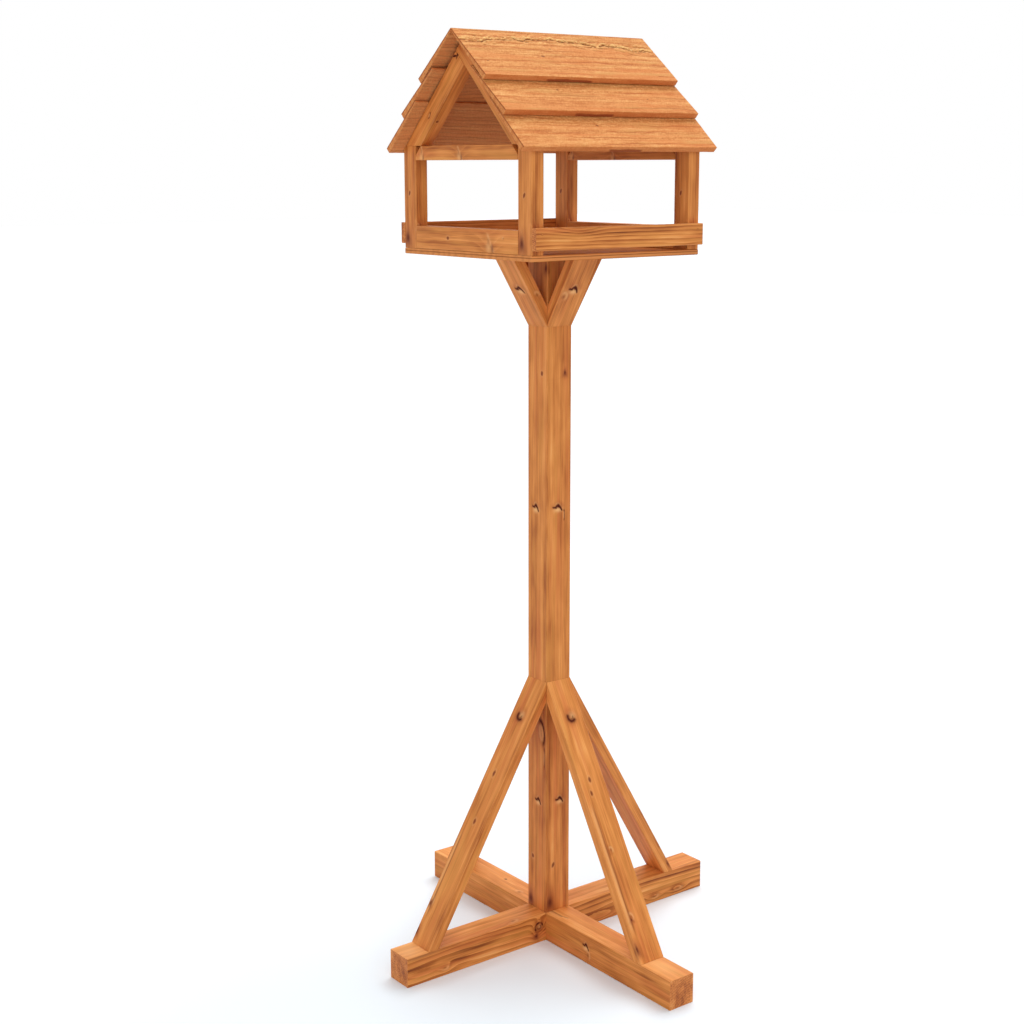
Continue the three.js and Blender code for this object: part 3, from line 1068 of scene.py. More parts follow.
        on_end, on_edge = (recipe.facing_along(lie.turn[axis]).size().step(0.62, 0.86) for axis in (2, 1))
        # Sides that face down are painted their own duller colour, set to how bright they look in the light.
        below = recipe.facing_along(lie.turn[0]).step(-0.4, -0.8)
        edge_tone = tone + on_end * 0.12 - 0.16
        edge_colour = recipe.blend(0.6 - on_end * 0.2, recipe.tones(edge_tone, self.tones), self.edge)
        rim = outward.step(top - self.rim_depth, top - self.rim_depth / 2)
        fine = ((rings * 2.0).fraction() - 0.5).size().step(0.32, 0.0) * (broken * 0.6 + 0.4)
        start, end = course.streak
        streak = run.step(start - 2.0, start + 3.0) * run.step(end + 3.0, end - 3.0)
        streak = streak * aside.step(half_width - 7.0, half_width - 4.0) * on_edge
        streak_top = top - self.streak_depth
        streak = streak * (outward + dash * 5.0).step(streak_top + 1.0, streak_top - 0.6)
        colour = recipe.layered(
            colour,
            (on_end.greater(on_edge) * 0.9, edge_colour),
            (on_end * rim * 0.72, self.streak),
            (below * 0.6, self.under),
            (below * fine * 0.4, self.under_line),
            (streak * 0.85, self.streak),
        )
        height = fleck * 1.4 + dash * 1.6 + saw * 1.1 - line * 0.6 - pit * 1.5
        recipe.relief(height, self.relief_depth)
        return recipe.finish(colour, fleck * 0.2 + 0.75)

    def slanted(self, recipe: Recipe, place: Place) -> Place:
        """Slants the saw marks across the board, as its blade left them.

        Args:
            recipe: The material.
            place: The place on the board, in millimetres.

        Returns:
            The place that the marks are read from.
        """
        _, aside, _ = place.parts()
        node = recipe.node("ShaderNodeCombineXYZ", {"Z": aside * self.saw_slant})
        return place.plus(Place(recipe, node.outputs["Vector"]))


@dataclass(frozen=True)
class StainedPly:
    """Stained plywood, satin, whose plies show along its edges.

    Attributes:
        timber: The stain.
        pale: The face plies' edges.
        core: The dark core ply's edge.
        core_low: How high the core starts over the board's middle, in millimetres.
        core_high: How high the core ends, in millimetres.
        ring: The width of a growth ring, in millimetres.
        sway: How the rings stray, with how far as its weight, in millimetres.
        fibre: The fine fibres.
        stripe: The long streaks.
        wave: How the core's height strays, with how far as its weight, in millimetres.
        fading: Where the core is paler.
        gloss: How much light it mirrors.
        relief_depth: How deep the grain is.
    """

    timber: StainedTimber
    pale: Colour = srgb(224, 150, 92)
    core: Colour = srgb(124, 64, 28)
    core_low: float = 0.3
    core_high: float = 1.2
    ring: float = 15.0
    sway: Layer = Layer((40.0, 60.0, 190.0), weight=46.0)
    fibre: Layer = Layer((1.0, 1.0, 30.0), 1.0, 3.0)
    stripe: Layer = Layer((9.0, 9.0, 200.0), 2.0)
    wave: Layer = Layer((50.0, 50.0, 50.0), 3.0, weight=0.7)
    fading: Layer = Layer((20.0, 20.0, 20.0), 4.0, weight=0.8)
    gloss: float = 0.06
    relief_depth: float = 0.08 * MM

    def material(self, name: str, lie: Lie, seed: float) -> bpy.types.Material:
        """Makes the finish of the tray's floor.

        Args:
            name: The material's name.
            lie: How the floor lies, with its grain along its run and its top outward.
            seed: Picks the floor's own noise.

        Returns:
            The material.
        """
        recipe = Recipe(name)
        place = lie.read(recipe)
        outward, aside, _ = place.parts()
        rings = ((aside + recipe.grown(place, self.sway, seed)) / self.ring).fraction()
        late = rings.step(0.2, 0.8) * rings.step(1.0, 0.86)
        fibre = recipe.grown(place, self.fibre, seed)
        tone = fibre * 0.5 + recipe.grown(place, self.stripe, seed) * 0.8 - late * 0.16 + 0.46

        on_edge = recipe.facing_along(lie.turn[0]).size().step(0.6, 0.3)
        height = outward + recipe.grown(place, self.wave, seed)
        above_low = height.step(self.core_low - 0.4, self.core_low)
        core = above_low * height.step(self.core_high + 0.4, self.core_high)
        colour = recipe.layered(
            recipe.tones(tone, self.timber.tones),
            (on_edge * 0.6, self.pale),
            (on_edge * core * (recipe.grown(place, self.fading, seed) + 0.66), self.core),
        )
        recipe.relief(fibre * 0.7 + late * 0.3, self.relief_depth)
        return recipe.finish(colour, fibre * 0.2 + 0.62, self.gloss)


@dataclass(frozen=True)
class ZincSteel:
    """Zinc plated steel, with the cloudy sheen of plating.

    Attributes:
        pale: The plating's pale parts.
        dull: The plating's dull parts.
        clouds: Where it is pale.
        grit: Its fine grain.
        gloss: How much light it mirrors at a glancing angle.
        relief_depth: How deep the grain is.
    """

    pale: Colour = srgb(206, 208, 206)
    dull: Colour = srgb(160, 164, 166)
    clouds: Layer = Layer((2.4, 2.4, 2.4), 3.0, 4.0)
    grit: Layer = Layer((0.25, 0.25, 0.25), 5.0)
    gloss: float = 0.5
    relief_depth: float = 0.02 * MM

    def material(self, name: str) -> bpy.types.Material:
        """Makes the finish of the screws.

        Args:
            name: The material's name.

        Returns:
            The material.
        """
        recipe = Recipe(name)
        place = recipe.object_place().scaled(TO_MM, TO_MM, TO_MM)
        cloud = recipe.grown(place, self.clouds)
        colour = recipe.blend(cloud * 2.0 + 0.5, self.dull, self.pale)
        recipe.relief(recipe.grown(place, self.grit) + cloud * 0.5, self.relief_depth)
        return recipe.finish(colour, cloud * 0.4 + 0.4, self.gloss, 1.0)


class Slot(Enum):
    """A finish slot named in the part's record."""

    STAINED = "stained_timber"
    SAWN = "sawn_board"
    PLY = "tray_ply"


def merged_copy(node: str) -> bmesh.types.BMesh:
    """Copies a solid and joins its loose triangles into its true flat faces.

    Args:
        node: The solid's name.

    Returns:
        The copy.
    """
    copy = bmesh.new()
    copy.from_mesh(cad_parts[node].data)
    bmesh.ops.remove_doubles(copy, verts=copy.verts, dist=WELD)
    bmesh.ops.dissolve_limit(copy, angle_limit=FLAT, verts=copy.verts, edges=copy.edges)
    return copy


def rounded(
        work: bmesh.types.BMesh, edges: list[bmesh.types.BMEdge], width: float,
        segments: int) -> list[bmesh.types.BMFace]:
    """Rounds edges, with the roundings shaded smooth.

    Args:
        work: The mesh.
        edges: Its edges that are rounded.
        width: The width of a rounding.
        segments: How many facets it has.

    Returns:
        The roundings' faces.
    """
    made = bmesh.ops.bevel(
        work, geom=edges, offset=width, offset_type="OFFSET", affect="EDGES",
        segments=segments, profile=0.5, material=-1, clamp_overlap=True)
    for face in made["faces"]:
        face.smooth = True
    return made["faces"]


def placed(name: str, data: bpy.types.ID) -> bpy.types.Object:
    """Adds an object to the scene.

    Args:
        name: The object's name.
        data: Its mesh, lamp or camera.

    Returns:
        The object.
    """
    holder = bpy.data.objects.new(name, data)
    bpy.context.scene.collection.objects.link(holder)
    return holder


def dress(piece: bpy.types.Object, finish: bpy.types.Material) -> None:
    """Gives a piece or the floor its one finish."""
    piece.data.materials.clear()
    piece.data.materials.append(finish)


def settle(work: bmesh.types.BMesh, name: str, node: str | None) -> bpy.types.Object:
    """Makes a piece of a finished mesh and seats it in the frame.

    Args:
        work: The mesh, which is freed.
        name: The piece's name.
        node: The solid that it stands for, if any.

    Returns:
        The piece.
    """
    mesh = bpy.data.meshes.new(name)
    work.to_mesh(mesh)
    work.free()
    piece = placed(name, mesh)
    if node:
        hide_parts(node)
    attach(piece, BODY)
    log.info("%s: %d faces, for %s", name, len(mesh.polygons), node or "no solid")
    return piece


@dataclass(frozen=True)
class Joinery:
    """How a timber's edges are eased.

    Attributes:
        arris: The width of the rounding along the timber.
        cut: The width of the rounding round its sawn ends.
        least_edge: The shortest edge of a timber that is eased, which leaves out the edges of screw holes.
        sharp: The least turn of an edge that is eased, in radians.
        with_run: How nearly an edge runs with the grain to count as a long one, where one is exactly.
    """

    arris: float = 1.1 * MM
    cut: float = 0.3 * MM
    least_edge: float = 6 * MM
    sharp: float = math.radians(35)
    with_run: float = 0.94

    def planed(self, node: str, lie: Lie) -> bmesh.types.BMesh:
        """Copies a solid and rounds its edges, with the long ones marked for the finish.

        Args:
            node: The solid's name.
            lie: How it lies.

        Returns:
            The mesh.
        """
        work = merged_copy(node)
        arris_mark = work.faces.layers.float.new("arris")
        long_edges = [edge for edge in self.outer_edges(work) if self.runs_with(edge, lie.run)]
        for face in rounded(work, long_edges, self.arris, 3):
            face[arris_mark] = 1.0
        cut_edges = [edge for edge in self.outer_edges(work) if not self.runs_with(edge, lie.run)]
        rounded(work, cut_edges, self.cut, 2)
        return work

    def outer_edges(self, work: bmesh.types.BMesh) -> list[bmesh.types.BMEdge]:
        """Lists a timber's sharp edges, without those of its screw holes.

        Args:
            work: The timber's mesh.

        Returns:
            The edges.
        """
        whole = [edge for edge in work.edges if len(edge.link_faces) == 2]
        sharp = [edge for edge in whole if edge.calc_face_angle_signed(0.0) > self.sharp]
        return [edge for edge in sharp if edge.calc_length() > self.least_edge]

    def runs_with(self, edge: bmesh.types.BMEdge, run: Vector) -> bool:
        """Tells whether an edge runs with the grain."""
        way = (edge.verts[1].co - edge.verts[0].co).normalized()
        return abs(way.dot(run)) > self.with_run


@dataclass(frozen=True)
class Stock:
    """What every timber of the table shares.

    Attributes:
        joinery: How edges are eased.
        stain: The finish.
    """

    joinery: Joinery
    stain: StainedTimber

    def timber(self, node: str, lie: Lie, grain: Grain, knots: tuple[Knot, ...]) -> None:
        """Makes one planed timber in the place of its solid, with its own grain and knots."""
        piece = settle(self.joinery.planed(node, lie), node + "_planed", node)
        dress(piece, self.stain.material(node + "_stain", lie, grain, knots))


@dataclass(frozen=True)
class Foot:
    """The two beams that cross under the post.

    Attributes:
        stock: What the beams are made of.
        cross_grain: The grain of the beam along X.
        through_grain: The grain of the beam along Y.
        cross_knots: The knots of the beam along X, with a patch of painted light on its top.
        through_knots: The knots of the beam along Y, with a patch of painted light on its top.
    """

    stock: Stock
    cross_grain: Grain = Grain(
        pith_outward=-46.0, pith_aside=58.0, ring=5.6, wander=26.0, depth=0.4, crisp=0.8, seed=11.0,
        shade=-0.07)
    through_grain: Grain = Grain(
        pith_outward=-30.0, pith_aside=-60.0, ring=8.5, wander=24.0, depth=0.14, crisp=0.5, seed=23.0,
        shade=-0.01)
    cross_knots: tuple[Knot, ...] = (
        Knot(Face.FRONT, -48.8, -3.0, 7.5, KnotKind.RING, turn=90.0, push=1.6),
        Knot(Face.FRONT, -54.0, 10.5, 4.4, KnotKind.SMUDGE, turn=60.0, push=1.0),
        Knot(Face.FRONT, -225.9, 10.6, 3.6, KnotKind.EYE, stretch=2.0, push=1.6),
        Knot(Face.FRONT, -262.0, 6.0, 5.0, KnotKind.HIDDEN, stretch=4.0, push=1.2, depth=14.0),
        Knot(Face.FRONT, 240.6, 11.8, 3.4, KnotKind.EYE, stretch=3.2, push=2.6),
        Knot(Face.FRONT, 190.0, 12.4, 3.6, KnotKind.EYE, stretch=2.6, push=2.0),
        Knot(Face.FRONT, 74.6, 12.8, 4.4, KnotKind.HIDDEN, stretch=4.6, push=2.2, depth=14.0),
        Knot(Face.OPPOSITE, -93.0, 14.0, 4.4, KnotKind.EYE, stretch=2.2, push=1.6),
        # A patch of painted light on the open top near the beam's end.
        Knot(Face.OPPOSITE, -272.0, 2.0, 20.0, KnotKind.PATCH, stretch=1.7, push=0.0),
    )
    through_knots: tuple[Knot, ...] = (
        Knot(Face.FRONT, -106.6, 3.4, 6.6, KnotKind.ARCH, turn=-90.0, stretch=0.9),
        Knot(Face.FRONT, -111.0, -9.0, 5.0, KnotKind.EYE, turn=-90.0, stretch=1.7),
        Knot(Face.ASIDE, -22.0, 13.6, 4.6, KnotKind.GROOVE, stretch=3.4, push=1.2),
        Knot(Face.ASIDE, -36.0, 11.0, 3.0, KnotKind.GROOVE, stretch=4.0, turn=12.0),
        Knot(Face.ASIDE, 76.0, 8.7, 5.6, KnotKind.EYE, stretch=1.5),
        Knot(Face.ASIDE, 128.0, -4.0, 1.8, KnotKind.PIN, stretch=1.4),
        # A patch of painted light on the open top near the beam's end.
        Knot(Face.ASIDE, -240.0, 0.0, 18.0, KnotKind.PATCH, stretch=2.4, push=0.0),
    )

    def build(self) -> None:
        """Makes both beams."""
        cross = Lie.of("foot_beam_cross", RIGHT, FRONT)
        self.stock.timber("foot_beam_cross", cross, self.cross_grain, self.cross_knots)
        through = Lie.of("foot_beam_through", BACK, LEFT)
        self.stock.timber("foot_beam_through", through, self.through_grain, self.through_knots)


@dataclass(frozen=True)
class Mast:
    """The post with the braces at its foot and at its head.

    Attributes:
        stock: What they are made of.
        post_grain: The post's grain.
        lower_grain: The grain of the lower braces.
        front_painted_light: How much paler the lower brace at the front is painted, as painted light on its
            lit face.
        upper_grain: The grain of the upper braces.
        seed_step: How far apart the seeds of the braces lie.
        post_knots: The post's knots.
        lower_knots: The knots of the lower braces along X, and those along Y.
        upper_knots: The knots of the upper braces along X, and those along Y.
    """

    stock: Stock
    post_grain: Grain = Grain(
        pith_outward=-34.0, pith_aside=-26.0, ring=11.0, wander=30.0, depth=0.1, crisp=0.2, seed=31.0,
        shade=0.01)
    lower_grain: Grain = Grain(
        pith_outward=-40.0, pith_aside=18.0, ring=9.0, wander=28.0, depth=0.12, crisp=0.3, seed=41.0,
        shade=0.01)
    front_painted_light: float = 0.1
    upper_grain: Grain = replace(lower_grain, seed=71.0)
    seed_step: float = 7.0
    post_knots: tuple[Knot, ...] = (
        Knot(Face.FRONT, 131.3, -3.4, 7.2, KnotKind.ARCH, stretch=0.9),
        Knot(Face.ASIDE, 132.8, 1.6, 8.6, KnotKind.ARCH, stretch=0.66),
        Knot(Face.ASIDE, 121.0, -9.6, 1.5, KnotKind.SLIT, stretch=5.0),
        Knot(Face.FRONT, 332.4, 10.4, 2.4, KnotKind.PIN, stretch=1.3),
        Knot(Face.ASIDE, 332.4, -10.6, 2.8, KnotKind.SMUDGE, stretch=1.5),
        Knot(Face.FRONT, -325.6, 3.0, 6.6, KnotKind.ARCH, stretch=0.9),
        Knot(Face.ASIDE, -323.8, -3.4, 7.2, KnotKind.ARCH, stretch=0.8),
        Knot(Face.FRONT, -214.0, 10.0, 7.6, KnotKind.SLIT, stretch=2.5, turn=8.0),
        Knot(Face.FRONT, -253.0, 17.0, 1.8, KnotKind.SLIT, stretch=9.0),
        Knot(Face.FRONT, -419.0, -10.4, 2.4, KnotKind.PIN, stretch=1.3),
        Knot(Face.ASIDE, -427.0, 9.0, 2.2, KnotKind.PIN, stretch=1.8, turn=-20.0),
        Knot(Face.FRONT, -491.6, -15.3, 7.0, KnotKind.SMUDGE, stretch=1.6),
        Knot(Face.ASIDE, -487.8, 15.2, 7.5, KnotKind.SMUDGE, stretch=1.6),
        Knot(Face.FRONT, 484.4, 19.3, 3.0, KnotKind.SMUDGE, stretch=2.0),
    )
    lower_knots: tuple[tuple[Knot, ...], tuple[Knot, ...]] = (
        (
            Knot(Face.FRONT, 154.6, -1.3, 8.0, KnotKind.CURL),
            Knot(Face.FRONT, 60.5, -4.0, 2.2, KnotKind.PIN, stretch=2.0),
            Knot(Face.FRONT, -16.0, -1.0, 2.4, KnotKind.PIN, stretch=1.6),
            Knot(Face.FRONT, -105.0, -17.4, 3.6, KnotKind.GROOVE, stretch=20.0, push=0.2),
            Knot(Face.FRONT, -148.9, -17.0, 4.4, KnotKind.EYE, stretch=1.8),
            Knot(Face.FRONT, -152.0, -18.0, 3.0, KnotKind.SMUDGE, stretch=1.6),
            Knot(Face.FRONT, -196.8, -20.8, 3.4, KnotKind.SMUDGE, stretch=2.0),
            Knot(Face.FRONT, -226.0, 6.0, 8.0, KnotKind.SMUDGE, stretch=0.7),
        ),
        (
            Knot(Face.FRONT, 156.3, 0.8, 8.4, KnotKind.CURL),
            Knot(Face.FRONT, 59.3, -3.7, 2.2, KnotKind.PIN, stretch=1.8),
            Knot(Face.FRONT, 39.4, -8.2, 2.0, KnotKind.PIN, stretch=1.8),
            Knot(Face.FRONT, -74.0, -16.4, 4.2, KnotKind.GROOVE, stretch=25.0, push=0.2),
            Knot(Face.FRONT, -147.3, -11.6, 4.8, KnotKind.EYE, stretch=1.4),
            Knot(Face.FRONT, -151.0, -12.4, 2.6, KnotKind.SMUDGE, stretch=1.2),
            Knot(Face.FRONT, -193.6, -19.9, 3.4, KnotKind.SMUDGE, stretch=2.2),
            Knot(Face.FRONT, -47.5, -7.4, 4.0, KnotKind.EYE, stretch=1.3, push=2.0),
        ),
    )
    upper_knots: tuple[tuple[Knot, ...], tuple[Knot, ...]] = (
        (
            Knot(Face.FRONT, 2.7, 1.0, 8.8, KnotKind.ARCH, stretch=0.72),
            Knot(Face.ASIDE, -10.2, -0.6, 5.0, KnotKind.EYE, stretch=1.2),
        ),
        (
            Knot(Face.FRONT, 3.3, -0.4, 8.6, KnotKind.ARCH, stretch=0.8),
            Knot(Face.FRONT, -7.9, -15.0, 7.0, KnotKind.EYE, stretch=1.2),
        ),
    )

    def build(self) -> None:
        """Makes the post and the eight braces."""
        self.stock.timber("post", Lie.of("post", UP, LEFT), self.post_grain, self.post_knots)
        sides = (("left", LEFT, 0), ("front", FRONT, 1), ("right", RIGHT, 0), ("back", BACK, 1))
        for number, (side, away, pair) in enumerate(sides):
            lower = self.lower_grain.sown(self.seed_step * number)
            # The front lower brace is painted paler, as painted light on its lit face.
            if side == "front":
                lower = replace(lower, shade=self.front_painted_light)
            self.brace("lower_brace_" + side, away, away + UP, self.lower_knots[pair], lower)
            upper = self.upper_grain.sown(self.seed_step * number)
            self.brace("upper_brace_" + side, away, away + DOWN, self.upper_knots[pair], upper)

    def brace(self, node: str, away: Vector, look: Vector, knots: tuple[Knot, ...], grain: Grain) -> None:
        """Makes one brace.

        Args:
            node: The brace's solid.
            away: The level way from the post to the brace.
            look: Roughly the way that its outer face looks.
            knots: Its knots.
            grain: Its grain.
        """
        outward = facing(node, look)
        run = outward.cross(away.cross(UP))
        if run.z < 0:
            run = -run
        self.stock.timber(node, Lie.of(node, run, outward), grain, knots)


@dataclass(frozen=True)
class Tray:
    """The floor and the side boards round it.

    Attributes:
        stock: What the boards are made of.
        ply: The floor's finish.
        floor_seed: Picks the floor's noise.
        board_grain: The grain of the side boards.
        seed_step: How far apart the side boards' seeds lie.
        board_knots: The knots of the side boards.
    """

    stock: Stock
    ply: StainedPly
    floor_seed: float = 83.0
    board_grain: Grain = Grain(
        pith_outward=-14.0, pith_aside=62.0, ring=5.2, wander=13.0, depth=0.36, crisp=0.8, seed=91.0,
        shade=-0.09)
    seed_step: float = 5.0
    board_knots: tuple[Knot, ...] = (
        Knot(Face.FRONT, -76.0, -24.0, 13.0, KnotKind.HIDDEN, stretch=1.7, push=0.9, depth=12.0),
        Knot(Face.FRONT, 118.0, 30.0, 12.0, KnotKind.HIDDEN, stretch=2.4, push=0.5, depth=12.0),
    )

    def build(self) -> None:
        """Makes the floor and both side boards."""
        floor = Lie.of("tray_floor", RIGHT, UP)
        work = self.stock.joinery.planed("tray_floor", floor)
        piece = settle(work, "tray_floor_ply", "tray_floor")
        dress(piece, self.ply.material("tray_floor_stain", floor, self.floor_seed))
        for number, (side, away) in enumerate((("front", FRONT), ("back", BACK))):
            node = "side_board_" + side
            grain = self.board_grain.sown(self.seed_step * number)
            self.stock.timber(node, Lie.of(node, RIGHT, away), grain, self.board_knots)


@dataclass(frozen=True)
class House:
    """The corner posts, the rails between them and the rafters over them.

    Attributes:
        stock: What they are made of.
        post_grain: The grain of the corner posts.
        lower_grain: The grain of the lower rails.
        upper_grain: The grain of the upper rails.
        rafter_grain: The grain of the rafters.
        gable_step: How far apart the seeds of like posts and rafters of the two gables lie.
        row_step: How far apart those of the front and the back lie.
        rail_step: How far apart those of like rails lie.
        corner_knots: The knots of a corner post.
        lower_rail_knots: The knots of a lower rail.
        upper_rail_knots: The knots of an upper rail.
        rafter_knots: The knots of a rafter at the back.
    """

    stock: Stock
    post_grain: Grain = Grain(
        pith_outward=-30.0, pith_aside=16.0, ring=7.0, wander=12.0, depth=0.16, crisp=0.5, seed=111.0,
        shade=-0.03)
    lower_grain: Grain = Grain(
        pith_outward=-30.0, pith_aside=-34.0, ring=7.5, wander=14.0, depth=0.14, crisp=0.5, seed=201.0,
        shade=0.02)
    upper_grain: Grain = replace(lower_grain, seed=221.0, shade=-0.06)
    rafter_grain: Grain = Grain(
        pith_outward=-26.0, pith_aside=26.0, ring=7.0, wander=12.0, depth=0.14, crisp=0.4, seed=151.0,
        shade=-0.02)
    gable_step: float = 10.0
    row_step: float = 5.0
    rail_step: float = 6.0
    corner_knots: tuple[Knot, ...] = (
        Knot(Face.FRONT, -57.5, -7.0, 6.6, KnotKind.SMUDGE, stretch=1.5),
        Knot(Face.FRONT, 6.0, -1.5, 1.9, KnotKind.PIN, stretch=1.7, turn=-25.0),
        Knot(Face.ASIDE, -49.0, 3.0, 4.4, KnotKind.SMUDGE, stretch=1.8),
        Knot(Face.ASIDE, -43.0, 6.0, 6.0, KnotKind.SPLIT, stretch=1.1),
    )
    lower_rail_knots: tuple[Knot, ...] = (
        Knot(Face.FRONT, 42.0, 1.2, 2.2, KnotKind.PIN, stretch=1.3),
        Knot(Face.FRONT, -55.0, -3.0, 13.0, KnotKind.SPLIT, turn=-85.0),
        Knot(Face.FRONT, -87.0, 4.6, 2.0, KnotKind.EYE, stretch=1.2),
    )
    upper_rail_knots: tuple[Knot, ...] = (
        Knot(Face.FRONT, 13.5, -1.0, 9.0, KnotKind.SPLIT, turn=-80.0, stretch=1.2),
        Knot(Face.FRONT, 104.5, -0.6, 8.0, KnotKind.SPLIT, turn=-95.0, stretch=1.3),
        Knot(Face.REAR, 15.5, 3.0, 8.0, KnotKind.SPLIT, turn=80.0, stretch=1.2),
        Knot(Face.REAR, 110.0, 1.0, 7.5, KnotKind.SPLIT, turn=95.0, stretch=1.3),
    )
    rafter_knots: tuple[Knot, ...] = (
        Knot(Face.FRONT, -16.8, 0.0, 1.9, KnotKind.SLIT, stretch=2.4, turn=12.0),
        Knot(Face.ASIDE, -15.8, 3.8, 2.0, KnotKind.PIN),
        Knot(Face.FRONT, 89.0, -7.0, 2.2, KnotKind.CRACK, stretch=3.6, turn=20.0),
        Knot(Face.FRONT, 82.5, -10.5, 1.8, KnotKind.CRACK, stretch=3.4, turn=-40.0),
    )

    def build(self) -> None:
        """Makes every piece between the floor and the roof boards."""
        for gable, (end, look) in enumerate((("left", LEFT), ("right", RIGHT))):
            for row, (side, away) in enumerate((("front", FRONT), ("back", BACK))):
                step = self.gable_step * gable + self.row_step * row
                node = f"corner_post_{side}_{end}"
                lie = Lie.of(node, UP, LEFT)
                self.stock.timber(node, lie, self.post_grain.sown(step), self.corner_knots)
                knots = self.rafter_knots if side == "back" else ()
                self.rafter(f"rafter_{side}_{end}", look, away, knots, self.rafter_grain.sown(step))
            step = self.rail_step * gable
            self.rail("lower_rail_" + end, look, self.lower_rail_knots, self.lower_grain.sown(step))
            self.rail("upper_rail_" + end, look, self.upper_rail_knots, self.upper_grain.sown(step))

    def rail(self, node: str, look: Vector, knots: tuple[Knot, ...], grain: Grain) -> None:
        """Makes one rail, which looks out of its gable."""
        self.stock.timber(node, Lie.of(node, BACK, look), grain, knots)

    def rafter(self, node: str, look: Vector, away: Vector, knots: tuple[Knot, ...], grain: Grain) -> None:
        """Makes one rafter.

        Args:
            node: The rafter's solid.
            look: The way out of its gable.
            away: The level way from the ridge to the rafter.
            knots: Its knots.
            grain: Its grain.
        """
        run = look.cross(facing(node, away + UP))
        if run.z < 0:
            run = -run
        self.stock.timber(node, Lie.of(node, run, look), grain, knots)


@dataclass(frozen=True)
class Tear:
    """A line along which the saw tore the wood of a board up.

    Attributes:
        path: Places on the line: along the board from its middle, and down from its upper edge.
        strength: How badly the wood is torn, from zero to one.
        seed: Picks one of many like lines.
        wiggle: How far the line strays from its path, in millimetres.
        fade: How far from its ends the tear reaches its full strength, in millimetres.
        lip_width: How wide the torn lip is, in millimetres.
        width: How far from the line the wood is torn at all, in millimetres.
        least: How much of its strength the tear keeps where it is weakest.
    """

    path: tuple[tuple[float, float], ...]
    strength: float = 1.0
    seed: float = 7.0
    wiggle: float = 1.7
    fade: float = 8.0
    lip_width: float = 1.5
    width: float = 8.0
    least: float = 0.16

    def down(self, along: float) -> float:
        """Follows the line.

        Args:
            along: The place along the board, in millimetres.

        Returns:
            How far down the line lies there, in millimetres.
        """
        for (start, high), (end, low) in zip(self.path, self.path[1:]):
            if along <= end:
                share = max((along - start) / (end - start), 0.0)
                eased = share * share * (3 - 2 * share)
                return high + (low - high) * eased + self.stray(along)
        return self.path[-1][1] + self.stray(along)

    def stray(self, along: float) -> float:
        """Gives how far the line strays from its path, in millimetres."""
        return self.wiggle * (self.waver(along, 11.0, 0.0) + 0.55 * self.waver(along, 4.2, 5.0))

    def waver(self, along: float, wave: float, salt: float) -> float:
        """Gives smooth noise along the board, with waves of about a given length in millimetres."""
        return noise.noise(Vector((along / wave, self.seed, salt)))

    def vigour(self, along: float) -> float:
        """Tells how much the wood is torn.

        Args:
            along: The place along the board, in millimetres.

        Returns:
            A number from zero to one.
        """
        inside = min(along - self.path[0][0], self.path[-1][0] - along) + self.fade
        if inside <= 0:
            return 0.0
        slow, quick = self.waver(along, 20.0, 9.0), self.waver(along, 6.0, 13.0)
        vigour = min(max(0.66 + 0.6 * slow + 0.9 * quick, self.least), 1.0)
        return self.strength * vigour * min(inside / (2 * self.fade), 1.0)

    def profile(self, along: float, down: float) -> tuple[float, float]:
        """Gives how much lip and how much furrow a place has.

        Args:
            along: The place along the board, in millimetres.
            down: The place down from the board's upper edge, in millimetres.

        Returns:
            The lip's share and the furrow's share.
        """
        if not self.path[0][0] - self.fade < along < self.path[-1][0] + self.fade:
            return 0.0, 0.0
        off = down - self.down(along)
        if abs(off) > self.width:
            return 0.0, 0.0
        vigour = self.vigour(along)
        ragged = 0.75 + 0.8 * noise.noise(Vector((along / 2.4, down / 1.4, self.seed)))
        lip = vigour * ragged * math.exp(-((off / self.lip_width) ** 2))
        furrow = vigour * math.exp(-(((off - 1.9 * self.lip_width) / (0.85 * self.lip_width)) ** 2))
        return max(lip, 0.0), furrow


